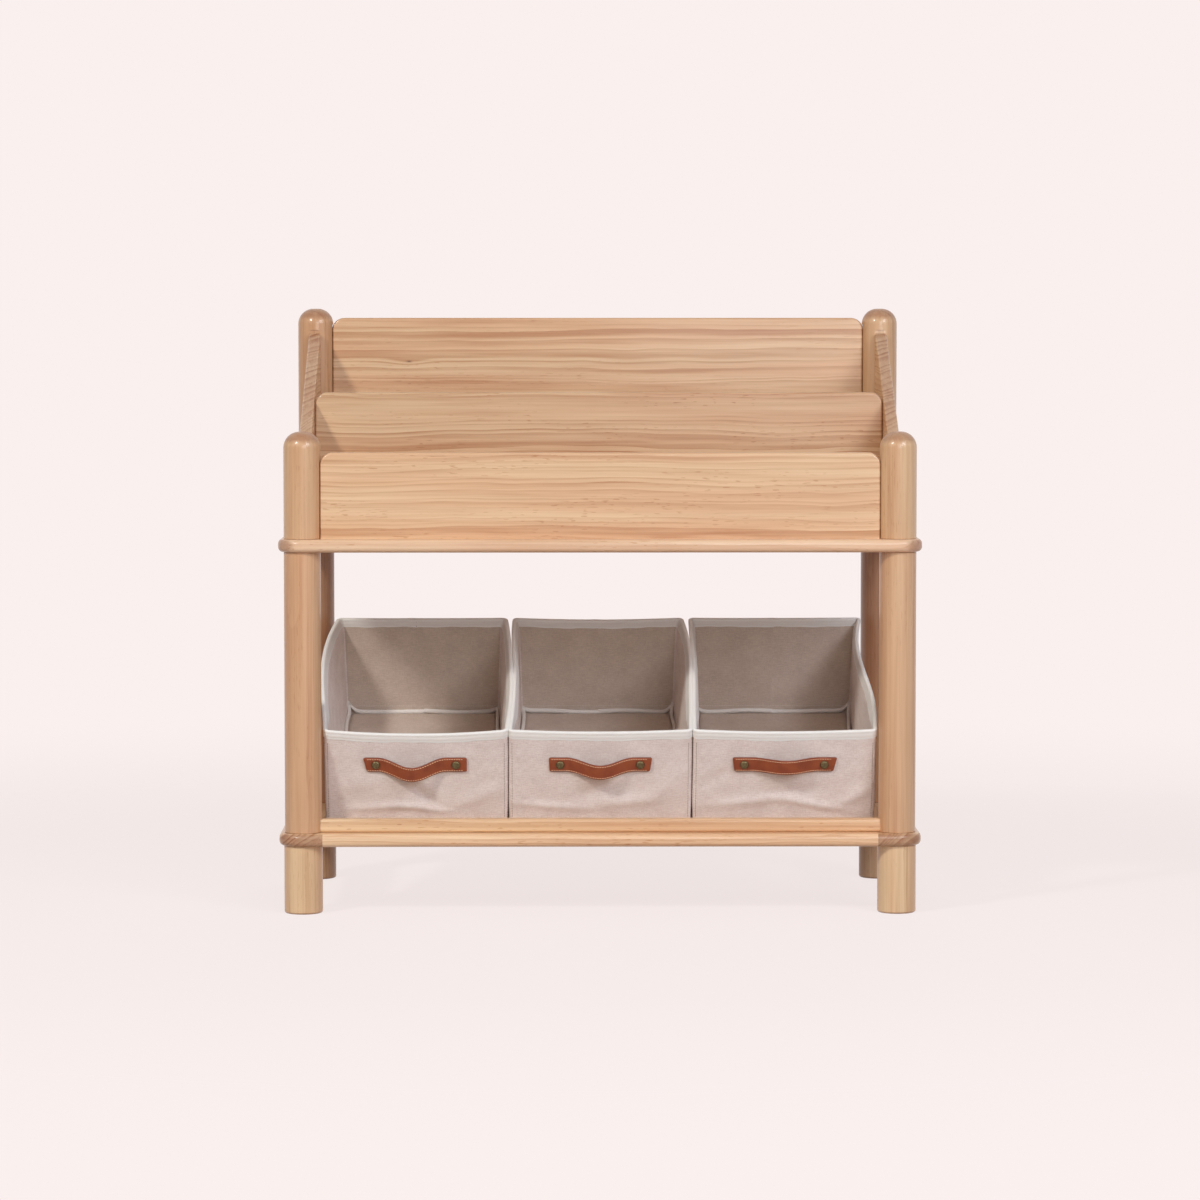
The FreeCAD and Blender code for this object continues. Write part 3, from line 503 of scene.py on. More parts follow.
def grid_piece(name: str, points: np.ndarray, uv: np.ndarray, around: bool = False,
               caps: bool = False) -> bpy.types.Object:
    """Smooth mesh over a grid of points.

    Args:
        name: name of the piece.
        points: rows by columns by 3, in metres.
        uv: texture coordinates of the grid, with one more column where it closes around.
        around: whether the last column joins the first.
        caps: whether the first and last rows are closed by flat faces.

    Returns:
        The new object, in the scene.
    """
    rows, columns = points.shape[:2]
    row, column = grid_cells(rows, columns, around)
    faces = (row * columns + column % columns).tolist()
    marks = uv[row, column].reshape(-1, 2)
    if caps:
        ring = np.arange(columns)
        faces += [ring[::-1].tolist(), (ring + (rows - 1) * columns).tolist()]
        marks = np.concatenate([marks, uv[0, :columns][::-1], uv[-1, :columns]])
    return mesh_piece(name, points, faces, marks)


def stitch_row(name: str, holes: np.ndarray, lifted: np.ndarray, radius: float) -> bpy.types.Object:
    """Stitches between needle holes: an oval tube over each gap but a fifth of it, half sunk in the cloth.

    Args:
        name: name of the piece.
        holes: points of the needle's holes, in order.
        lifted: directions away from the cloth at the holes.
        radius: half the thickness of the thread.

    Returns:
        The new object, in the scene.
    """
    start, end = holes[:-1], holes[1:]
    away = lifted[:-1] / np.linalg.norm(lifted[:-1], axis=1, keepdims=True)
    run = end - start
    side = np.cross(run, away)
    side = side / np.linalg.norm(side, axis=1, keepdims=True)
    along = np.linspace(0, np.pi, 6)
    turn = np.linspace(0, 2 * np.pi, 7)[:-1]
    thick = radius * np.sin(along)[None, :, None, None] + 0.00002
    ring = np.cos(turn)[:, None] * side[:, None, None, :] + np.sin(turn)[:, None] * away[:, None, None, :]
    line = start[:, None] + run[:, None] * (0.5 - 0.4 * np.cos(along))[None, :, None]
    points = line[:, :, None, :] + thick * ring
    count, rows, columns = points.shape[:3]
    row, column = grid_cells(rows, columns, around=True)
    single = (row * columns + column % columns)[:, ::-1]
    faces = (single[None] + (np.arange(count) * rows * columns)[:, None, None]).reshape(-1, 4)
    marks = np.stack(np.divmod(single, columns), axis=-1) / [rows - 1, columns]
    return mesh_piece(name, points, faces.tolist(), np.tile(marks.reshape(-1), count))


@dataclass(frozen=True)
class Fold:
    """Soft ridge or hollow in a wall, as an oval bell: place, turn, half length, half width and depth."""

    across: float
    up: float
    angle: float
    length: float
    width: float
    depth: float

    def height(self, across: np.ndarray, up: np.ndarray) -> np.ndarray:
        """Depth times a bell that falls off along and across the turned fold."""
        turn = math.radians(self.angle)
        side, rise = across - self.across, up - self.up
        run = (side * math.cos(turn) + rise * math.sin(turn)) / self.length
        off = (rise * math.cos(turn) - side * math.sin(turn)) / self.width
        return self.depth * np.exp(-run ** 2 - off ** 2)


@dataclass(frozen=True)
class BinShape:
    """How one bin hangs: bulges of its walls, sags of the rim, folds in front and droop of its strap.

    A side wall's bulge has two parts: outwards at the middle, and outwards in front but inwards behind. The
    squeeze draws in the left and right rear corners. The ears are the lifts of the floor seam there.
    """

    left_bulge: tuple[float, float]
    right_bulge: tuple[float, float]
    strap_droop: float
    strap_shift: float
    strap_turns: tuple[float, float]
    ears: tuple[float, float]
    tape_joint: float
    seed: int
    folds: tuple[Fold, ...]
    rear_bulge: float = 0.001
    front_sag: float = 0.003
    rear_sag: float = 0.001
    side_sag: float = 0.001
    squeeze: tuple[float, float] = (0.0035, 0.0035)


@dataclass
class Bin:
    """One sewn canvas bin in its own frame: X across, Y along the floor to the back, Z up the walls."""

    side: Side
    shape: BinShape
    tilt: float = math.radians(18.4)
    width: float = 0.228
    length: float = 0.330
    front_height: float = 0.123
    rear_height: float = 0.138
    wall: float = 0.003
    corner: float = 0.006
    step: float = 0.003
    side_ease: float = 0.0008
    edge: float = 0.001
    tape: float = 0.0104
    tape_thickness: float = 0.0010
    tape_rows: tuple[float, float] = (0.28, 0.80)
    stitch: float = 0.0034
    thread: float = 0.00028
    seam: float = 0.0026
    front_ear: float = 0.003
    piping: tuple[float, float] = (0.0025, 0.0033)
    board: float = 0.003
    flare: float = 0.0050
    lean: float = 0.0035
    strap_length: float = 0.127
    strap_width: float = 0.019
    strap_thickness: float = 0.003
    strap_bow: float = 0.013
    strap_up: float = 0.077
    strap_reach: float = 0.0435
    strap_stitch: float = 0.0030
    strap_thread: float = 0.00048
    rivet_spacing: float = 0.100

    def __post_init__(self) -> None:
        """Take the bin's place from its packed shell."""
        low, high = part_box(f"{self.side.value}_bin_shell")
        front = low.y + self.front_height * math.sin(self.tilt)
        self.origin = np.array([(low.x + high.x) / 2, front, low.z])
        self.body = f"{self.side.value}_bin"
        inner = self.width - 2 * self.corner
        deep = self.length - 2 * self.corner
        arc = math.pi / 2 * self.corner
        runs = [0, inner / 2, arc, deep, arc, inner, arc, deep, arc, inner / 2]
        self.knots = np.cumsum(runs)
        self.girth = float(self.knots[-1])
        self.knot_x = np.array([0, -1, -1, -1, -1, 1, 1, 1, 1, 0]) * inner / 2
        self.knot_y = np.where([1, 1, 1, 0, 0, 0, 0, 1, 1, 1], self.length - self.corner, self.corner)
        self.knot_angle = np.radians([90, 90, 180, 180, 270, 270, 360, 360, 450, 450])
        self.corners = (self.knots[1:8:2] + self.knots[2:9:2]) / 2
        generator = np.random.default_rng(self.shape.seed)
        self.waves = generator.uniform([8, 8, 0, 0.4], [45, 60, 2 * math.pi, 1.0], (9, 4))

    def place(self, across: Numbers, along: Numbers, up: Numbers) -> np.ndarray:
        """Points of the shared frame from the bin's own: a turn by the tilt about X, then a shift."""
        back = along * math.cos(self.tilt) - up * math.sin(self.tilt)
        rise = along * math.sin(self.tilt) + up * math.cos(self.tilt)
        return np.stack(np.broadcast_arrays(across, back, rise), axis=-1) + self.origin

    def outline(self, way: Numbers) -> tuple[np.ndarray, np.ndarray, np.ndarray, np.ndarray]:
        """Rounded rectangle at a length along it: an inner rectangle plus the corner radius times the normal.

        Args:
            way: lengths from the middle of the rear wall, leftwards.

        Returns:
            X, Y, and the two parts of the outward normal.
        """
        way = np.mod(way, self.girth)
        angle = np.interp(way, self.knots, self.knot_angle)
        normal_x, normal_y = np.cos(angle), np.sin(angle)
        x = np.interp(way, self.knots, self.knot_x) + self.corner * normal_x
        y = np.interp(way, self.knots, self.knot_y) + self.corner * normal_y
        return x, y, normal_x, normal_y

    def rim(self, way: Numbers) -> np.ndarray:
        """Height of the rim: a slope from front to rear, less parabolic sags of each wall."""
        x, y, normal_x, normal_y = self.outline(way)
        height = self.front_height + (self.rear_height - self.front_height) * y / self.length
        hang = 1 - (2 * x / self.width) ** 2
        front = smooth(0.5, 1.0, -normal_y) * hang * self.shape.front_sag
        rear = smooth(0.5, 1.0, normal_y) * hang * self.shape.rear_sag
        sides = smooth(0.5, 1.0, np.abs(normal_x)) * np.sin(np.pi * y / self.length) * self.shape.side_sag
        return height - front - rear - sides

    def swell(self, way: Numbers, up: Numbers) -> np.ndarray:
        """How far the wall stands out: bulges of side and rear walls, folds of the front wall, small waves.

        All of it fades to nothing at the floor and round the rivets, which hold the wall.
        """
        x, y, normal_x, normal_y = self.outline(way)
        high = np.clip(up / self.front_height, 0, 1.2)
        turn = np.pi * np.clip(y / self.length, 0, 1)
        breadth = np.clip(1 - (2 * x / self.width) ** 2, 0, 1)
        out = np.zeros_like(turn * high)
        walls = ((*self.shape.left_bulge, -normal_x), (*self.shape.right_bulge, normal_x))
        for middle, wave, facing in walls:
            belly = middle * np.sin(turn) + wave * np.sin(2 * turn)
            out = out + belly * high ** 1.2 * smooth(0.6, 1.0, facing)
        out = out + breadth * high * smooth(0.6, 1.0, normal_y) * self.shape.rear_bulge
        front = smooth(0.6, 1.0, -normal_y)
        for fold in self.shape.folds:
            out = out + front * fold.height(x, up)
        below = smooth(0.010, 0.022, self.rim(way) - up)
        out = out + self.side_ease * (0.2 + 0.8 * below) * smooth(0.6, 1.0, np.abs(normal_x))
        for fast, slow, phase, size in self.waves:
            out = out + 0.00012 * size * np.sin(fast * way + slow * up + phase)
        rivets = np.minimum(np.hypot(x - self.rivet_spacing / 2, up - self.strap_up),
                            np.hypot(x + self.rivet_spacing / 2, up - self.strap_up))
        held = np.where(normal_y < -0.5, smooth(0.006, 0.022, rivets), 1.0)
        return out * smooth(0.002, 0.030, up) * held

    def drawn_in(self, across: Numbers, along: Numbers, up: Numbers, rim: Numbers) -> np.ndarray:
        """Share of its full width that the bin keeps at a point.

        The rim flares out over its tape and the walls lean in towards the floor, both growing from nothing at
        the front corners; the rear corners are squeezed in by a power of the length.

        Args:
            across: lengths from the middle.
            along: lengths from the front wall.
            up: heights in the bin.
            rim: heights of the rim there.

        Returns:
            Factors for X, up to 1.
        """
        share = np.clip(along / self.length, 0, 1)
        flare = self.flare * smooth(0.0, 0.017, rim - up)
        lean = self.lean * np.clip(1 - up / self.front_height, 0, 1)
        squeeze = np.where(across < 0, *self.shape.squeeze) * share ** 8
        inset = smooth(0.02, 0.20, share) * (flare + lean) + squeeze
        return 1 - 2 * inset / self.width

    def wall_point(self, way: Numbers, up: Numbers, out: Numbers) -> np.ndarray:
        """Point of the wall at a length round it and a height, moved outwards along its normal."""
        x, y, normal_x, normal_y = self.outline(way)
        reach = self.swell(way, up) + out
        x = x * self.drawn_in(x, y, up, self.rim(way))
        return self.place(x + reach * normal_x, y + reach * normal_y, up)

    def ways(self) -> np.ndarray:
        """Lengths round the bin, close together and with the rounded corners' own points."""
        even = np.arange(0, self.girth, self.step)
        bends = (self.corners[:, None] + np.linspace(-0.5, 0.5, 9) * math.pi / 2 * self.corner).ravel()
        return np.unique(np.concatenate([even, bends]).round(6))

    def marks(self, way: np.ndarray, heights: np.ndarray) -> np.ndarray:
        """Texture coordinates of a piece that runs round the bin, in metres of cloth."""
        return np.stack(np.meshgrid(np.append(way[0], self.girth), heights), axis=-1)

    def finish(self, piece: bpy.types.Object, material: Material, slot: str, *nodes: str) -> None:
        """Give a piece its material and body, hide the nodes that it stands for, and log it."""
        piece.data.materials.append(material)
        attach(piece, self.body)
        if nodes:
            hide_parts(*nodes)
        log.info("%s: %d faces", piece.name, len(piece.data.polygons))

    def build_shell(self, canvas: Material, lining: Material) -> None:
        """Canvas walls over the rim to the inside, with bottom and floor; the inner front and rear walls and
        the floor cap get a darker copy of the canvas as painted shade.
        """
        way = self.ways()[None, :]
        climb = np.linspace(0, 1, int(self.rear_height / self.step))[:, None]
        rim = self.rim(way)
        top = rim - self.edge
        ridge = 0.0007 * np.exp(-((way[..., None] - self.corners) / 0.0016) ** 2).sum(-1)
        outer = self.wall_point(way, climb * top, ridge)
        crest = self.wall_point(way, rim, -self.wall / 2)
        inner = self.wall_point(way, self.wall + climb[::-1] * (top - self.wall), -self.wall)
        points = np.concatenate([outer, crest, inner])
        heights = np.concatenate([climb[:, 0], [1.02], 2.04 - climb[::-1, 0]]) * self.rear_height
        uv = self.marks(way, heights)
        piece = grid_piece(f"{self.side.value}_canvas_shell", points, uv, around=True, caps=True)
        self.finish(piece, canvas, "bin_canvas", f"{self.side.value}_bin_shell")
        piece.data.materials.append(lining)
        # Painted shade: the inner front and rear walls and the floor cap take the darker copy of the canvas,
        # while the inner side walls keep the lit canvas.
        number = np.arange(len(piece.data.polygons))
        sideways = np.abs(self.outline(way[0])[2])[number % way.size] > 0.7
        painted_shade_faces = (number >= len(outer) * way.size) & ~sideways
        painted_shade_faces[-2:] = False, True
        piece.data.polygons.foreach_set("material_index", painted_shade_faces.astype(np.int32))

    def build_rim_tape(self, twill: Material) -> None:
        """Tape folded over the rim: down both faces, a half circle over the top, dented at its stitches."""
        way = self.ways()[None, :]
        half = self.wall / 2
        drop = np.linspace(1, 0, 12)
        turn = np.linspace(0, np.pi, 9)[1:-1]
        dent = 0.00045 * sum(np.exp(-((drop - row) / 0.07) ** 2) for row in self.tape_rows)
        puff = np.where(drop < 1, self.tape_thickness - dent, 0.0)
        bend = -half + (half + self.tape_thickness) * np.cos(turn)
        level = np.zeros(len(drop) + 1)
        out = np.concatenate([[0.0], puff, bend, -self.wall - puff[::-1], [-self.wall]])[:, None]
        rise = np.concatenate([[1.0], drop, np.zeros(len(turn)), drop[::-1], [1.0]])[:, None]
        crown = np.concatenate([level, half * np.sin(turn), level])[:, None]
        uneven = self.tape + 0.0005 * np.sin(way * 61 + self.shape.seed) + 0.0003 * np.sin(way * 187)
        pucker = 0.00012 * np.sin(way * 2 * np.pi / 0.0064) * np.sin(np.pi * rise)
        past = np.mod(way - self.shape.tape_joint + self.girth / 2, self.girth) - self.girth / 2
        lap = 0.0006 * (smooth(-0.0005, 0.0005, past) - smooth(0.011, 0.013, past))
        out = out + (pucker + lap) * np.sign(out + half)
        points = self.wall_point(way, self.rim(way) - self.edge - rise * uneven + crown, out)
        uv = self.marks(way, np.linspace(0, 2 * self.tape, len(out)))
        piece = grid_piece(f"{self.side.value}_rim_tape", points, uv, around=True)
        self.finish(piece, twill, "binding_tape", f"{self.side.value}_bin_rim_binding")

    def build_floor_piping(self, twill: Material) -> None:
        """Bound floor seam: an oval along the inside of the walls, gathered and lifted at the corners."""
        way = self.ways()[None, :]
        turn = np.linspace(0, 2 * np.pi, 13)[:-1][:, None]
        bells = np.exp(-((way[..., None] - self.corners) / 0.009) ** 2)
        near = bells.sum(-1)
        left_ear, right_ear = self.shape.ears
        thick, high = self.piping
        lift = bells @ np.array([left_ear, self.front_ear, self.front_ear, right_ear])
        lift = lift + 0.0010 * np.sin(way * 38 + self.shape.seed) * (1 - near)
        sway = 0.0010 * np.sin(way * 52 + 2 * self.shape.seed) * (1 - near) + 0.0015 * near
        out = -self.wall - 0.0027 - thick * np.cos(turn) + sway
        up = self.wall + 0.0035 + lift + high * np.sin(turn)
        points = self.wall_point(way, up, out)
        closed = np.concatenate([points, points[:1]])
        uv = self.marks(way, turn[:, 0] * thick)
        uv = np.concatenate([uv, uv[-1:] + [0, thick * np.pi / 6]])
        piece = grid_piece(f"{self.side.value}_floor_piping", closed, uv, around=True)
        self.finish(piece, twill, "binding_tape", f"{self.side.value}_bin_floor_binding")

    def build_floor(self, cloth: Material) -> None:
        """Cloth-covered base board: a flat sheet with gentle quilting, rounded over and down at its edges."""
        margin = self.wall + 0.0055
        across, along = np.meshgrid(np.linspace(-1, 1, 61), np.linspace(-1, 1, 81))
        x = across * (self.width / 2 - margin)
        y = self.length / 2 + along * (self.length / 2 - margin)
        edge = np.maximum(np.abs(across), np.abs(along))
        up = self.wall + self.board * (1 - smooth(0.985, 1.0, edge)) + 0.0002
        up = up + 0.0004 * np.sin(x * 47 + self.shape.seed) * np.sin(y * 31) * (1 - edge)
        points = self.place(x * self.drawn_in(x, y, up, np.full_like(y, self.front_height)), y, up)
        uv = np.stack([x, y], axis=-1)
        piece = grid_piece(f"{self.side.value}_floor_cloth", points, uv)
        self.finish(piece, cloth, "base_cloth", f"{self.side.value}_bin_base_board")

    def strap_line(self, across: np.ndarray) -> tuple[np.ndarray, np.ndarray]:
        """Middle line of the strap: flat under the rivets, bowed out and drooping like a bell between."""
        reach = np.clip(np.abs(across - self.shape.strap_shift) / self.strap_reach, 0, 1)
        bell = np.cos(reach * np.pi / 2) ** 2
        return self.strap_bow * bell, -self.shape.strap_droop * bell

    def build_strap(self, leather: Material) -> None:
        """Leather strap: a flat rounded section carried along its middle line, with rounded ends."""
        half = self.strap_length / 2
        along = half * np.sin(np.linspace(-np.pi / 2, np.pi / 2, 121))[:, None]
        turn = np.linspace(0, 2 * np.pi, 41)[:-1][None, :]
        end = np.clip((half - np.abs(along)) / self.strap_thickness, 0, 1)
        full = np.sqrt(1 - (1 - end) ** 2)
        taper = 0.80 + 0.20 * full
        thin = 0.55 + 0.45 * full
        wide = np.sign(np.cos(turn)) * np.abs(np.cos(turn)) ** 0.35 * self.strap_width / 2 * taper
        thick = np.sign(np.sin(turn)) * np.abs(np.sin(turn)) ** 0.5 * self.strap_thickness / 2 * thin
        bow, droop = self.strap_line(along)
        slant = np.where(along < 0, *(math.tan(math.radians(angle)) for angle in self.shape.strap_turns))
        lean = slant * wide * smooth(0.035, half, np.abs(along))
        slope = np.gradient(bow[:, 0], along[:, 0])[:, None]
        scale = np.sqrt(1 + slope ** 2)
        x = along + lean - thick * slope / scale
        y = -self.strap_thickness / 2 - bow - thick / scale
        points = self.place(x, y, self.strap_up + droop + wide)
        reach = np.append(turn[0], 2 * np.pi)
        uv = np.stack(np.broadcast_arrays(along, 0.5 + 0.5 * np.cos(reach)[None, :] * 0.999), axis=-1)
        piece = grid_piece(f"{self.side.value}_leather_strap", points[:, ::-1], uv[:, ::-1],
                           around=True, caps=True)
        self.finish(piece, leather, "strap_leather", f"{self.side.value}_bin_strap")

    def sew(self, name: str, way: Numbers, up: Numbers, out: float, material: Material) -> None:
        """Row of stitches on a wall, each a slim oval bead between two of the needle's holes.

        Args:
            name: what the row sews.
            way: lengths round the wall of the holes.
            up: heights of the holes.
            out: how far the cloth stands out there.
            material: the thread.
        """
        holes = self.wall_point(way, up, out)
        lifted = self.wall_point(way, up, out + 0.001) - holes
        piece = stitch_row(f"{self.side.value}_{name}", holes, lifted, self.thread)
        self.finish(piece, material, "binding_tape")

    def build_stitches(self, white: Material, brown: Material) -> None:
        """Stitching of the rim tape, inside and outside, of the corner seams, the floor seam and the lap."""
        way = np.arange(0, self.girth, self.stitch)
        rim = self.rim(way) - self.edge
        for name, row in zip(("upper", "lower"), self.tape_rows):
            self.sew(f"rim_{name}_stitches", way, rim - row * self.tape, 0.0004, white)
            self.sew(f"lining_{name}_stitches", way, rim - row * self.tape, -self.wall - 0.0004, white)
        climb = np.arange(0.004, self.front_height - self.tape - 0.004, self.stitch)
        for number, place in enumerate(self.corners):
            for name, shift in (("before", -self.seam), ("after", self.seam)):
                self.sew(f"corner_{number}_{name}_stitches", place + shift, climb, 0.0001, brown)
        self.sew("floor_seam_stitches", way, self.wall + 0.0105, -self.wall - 0.0001, white)
        joint = self.shape.tape_joint + 0.0015
        fall = self.rim(joint) - self.edge - np.linspace(0.08, 0.95, 5) * self.tape
        for name, out in (("outer", 0.0012), ("inner", -self.wall - 0.0012)):
            self.sew(f"joint_{name}_stitches", joint, fall, out, brown)

    def build_strap_stitches(self, thread: Material) -> None:
        """Stitching along both edges of the strap, just inside them."""
        half = self.strap_length / 2 - 0.0022
        along = np.arange(-half, half, self.strap_stitch)
        bow, droop = self.strap_line(along)
        for name, edge in (("top", 1), ("bottom", -1)):
            up = self.strap_up + droop + edge * (self.strap_width / 2 - 0.0020)
            holes = self.place(along, -self.strap_thickness - bow + 0.00005, up)
            lifted = self.place(along, -self.strap_thickness - bow - 0.001, up) - holes
            piece = stitch_row(f"{self.side.value}_strap_{name}_stitches", holes, lifted, self.strap_thread)
            self.finish(piece, thread, "strap_leather")

    def build(self, finishes: dict[str, Material]) -> None:
        """Sew the whole bin.

        Args:
            finishes: materials by their plain names.
        """
        # The lining is the canvas darkened as painted shade, used on the inner front and rear walls and the
        # floor cloth.
        self.build_shell(finishes["canvas"], finishes["lining"])
        self.build_rim_tape(finishes["twill"])
        self.build_floor_piping(finishes["piping"])
        self.build_floor(finishes["lining"])
        self.build_strap(finishes["leather"])
        self.build_stitches(finishes["thread"], finishes["brown_thread"])
        self.build_strap_stitches(finishes["tan_thread"])


BIN_SHAPES = {
    Side.LEFT: BinShape(
        left_bulge=(0.0105, -0.0015), right_bulge=(0.0050, 0.0010), front_sag=0.0055, side_sag=0.0,
        strap_droop=0.0083, strap_shift=-0.005, strap_turns=(-14, -1),
        ears=(0.012, 0.005), tape_joint=0.007, seed=3, folds=(
            Fold(-0.045, 0.017, 3, 0.040, 0.0050, 0.0039),
            Fold(0.020, 0.014, -9, 0.045, 0.0042, 0.00416),
            Fold(0.012, 0.031, -38, 0.026, 0.008, -0.0026),
            Fold(0.075, 0.030, 25, 0.035, 0.010, 0.00234),
            Fold(-0.070, 0.050, 12, 0.030, 0.012, 0.00156),
        )),
    Side.MIDDLE: BinShape(
        left_bulge=(-0.0042, -0.0010), right_bulge=(0.0045, -0.0010), rear_sag=0.003,
        strap_droop=0.0054, strap_shift=0.0, strap_turns=(-3, 8),
        ears=(0.004, 0.010), tape_joint=-0.003, seed=11, folds=(
            Fold(-0.055, 0.018, -5, 0.050, 0.0050, 0.00338),
            Fold(0.030, 0.024, 8, 0.050, 0.009, 0.0026),
            Fold(0.080, 0.045, 40, 0.030, 0.010, 0.00208),
            Fold(-0.010, 0.040, 20, 0.030, 0.009, -0.00182),
        )),
    Side.RIGHT: BinShape(
        left_bulge=(-0.0036, 0.0010), right_bulge=(-0.0030, 0.0045), squeeze=(0.0035, 0.0),
        strap_droop=-0.0008, strap_shift=0.002, strap_turns=(-7, 14),
        ears=(0.003, 0.012), tape_joint=-0.006, seed=19, folds=(
            Fold(0.050, 0.018, -12, 0.050, 0.0055, 0.0039),
            Fold(-0.040, 0.026, 8, 0.060, 0.008, 0.00312),
            Fold(0.085, 0.030, 35, 0.030, 0.008, 0.00286),
            Fold(-0.080, 0.060, 30, 0.025, 0.008, -0.00182),
            Fold(0.010, 0.038, 5, 0.050, 0.008, -0.00208),
        )),
}


@dataclass
class Woodwork:
    """Pine pieces of the frame, each cut from its own place in a log."""

    panels: tuple[str, ...] = ("front_panel", "middle_panel", "back_panel")
    boards: tuple[str, ...] = ("upper_shelf", "front_rail", "front_lip", "slanted_shelf", "rear_support_rail")
    ends: tuple[str, ...] = ("left_end_panel", "right_end_panel", "left_end_rail", "right_end_rail")
    dowels: tuple[str, ...] = ("panel_dowels", "end_panel_dowels", "rail_dowels")

    def dress(self) -> None:
        """Give every wooden node its own pine."""
        face = (0.070, -0.150)
        cuts = (
            Cut(Axis.X, face, ring=0.0080, contrast=0.55, cloud=0.36, pores=0.45),
            Cut(Axis.X, face, ring=0.0125, contrast=0.85, cloud=0.70, pores=0.6, tone=(0.96, 0.955, 0.95)),
            Cut(Axis.X, face, ring=0.0110, contrast=0.68, cloud=0.45, pores=0.3, knot=(-0.2475, 0.682)),
        )
        for number, (name, cut) in enumerate(zip(self.panels, cuts)):
            self.cut(name, cut, number)
        tones = {"upper_shelf": (1.03, 1.04, 1.09), "front_rail": (1.08, 1.10, 1.13)}
        for number, name in enumerate(self.boards):
            tone = tones.get(name, (1.03, 1.05, 1.06))
            cut = Cut(Axis.X, (0.030, -0.130), 0.0080, contrast=0.45, cloud=0.4, tone=tone)
            self.cut(name, cut, number + 3)
        for number, name in enumerate(self.ends):
            self.cut(name, Cut(Axis.Y, (0.050, -0.070), 0.0056, contrast=0.95, cloud=0.3), number + 20)
        # The rear legs' darker tone is painted shade: they stand in the shade under the upper shelf.
        turned = {"front_upper_post": (0.96, 0.94, 0.92), "rear_upper_post": (0.96, 0.94, 0.92),
                  "front_leg": (0.95, 0.91, 0.89), "rear_leg": (0.78, 0.69, 0.64),
                  "front_foot": (1.02, 1.03, 1.03), "rear_foot": (0.97, 0.96, 0.95)}
        corners = [(f"{side}_{part}", tone) for part, tone in turned.items() for side in ("left", "right")]
        for number, (name, tone) in enumerate(corners):
            cut = Cut(Axis.Z, (0.030, 0.075), 0.0105, contrast=0.34, cloud=0.60, pores=0.24, tone=tone)
            self.cut(name, cut, number + 40)
        for number, name in enumerate(self.dowels):
            self.cut(name, Cut(Axis.X, (0.02, 0.02)), number + 70)

    def cut(self, name: str, cut: Cut, number: int) -> None:
        """Pine for one node, with its pith beside the node's middle.

        Args:
            name: the node.
            cut: how it was sawn.
            number: which piece of the log this is.
        """
        low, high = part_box(name)
        middle = [part for index, part in enumerate((low + high) / 2) if index != cut.grain.value]
        swing = 0.012 * math.sin(2.3 * number)
        pith = (middle[0] + cut.offset[0] + swing, middle[1] + cut.offset[1] - swing)
        dress(name, Pine(f"pine_{name}", cut, pith, 3.7 * number).material())


def dress_hardware() -> None:
    """Give the studs, threaded inserts and rivets, which keep their CAD shapes, their metals."""
    steel = Metal("zinc_steel", (196, 198, 200), (160, 162, 166), 0.35).material()
    insert = Metal("insert_brass", (196, 160, 92), (160, 124, 66), 0.35).material()
    rivet = Metal("antique_brass", (126, 113, 84), (80, 69, 46), 0.40).material()
    finishes = {"shelf_studs": steel, "foot_studs": steel, "threaded_inserts": insert}
    finishes |= {f"{side.value}_bin_rivets": rivet for side in Side}
    for name, material in finishes.items():
        dress(name, material)


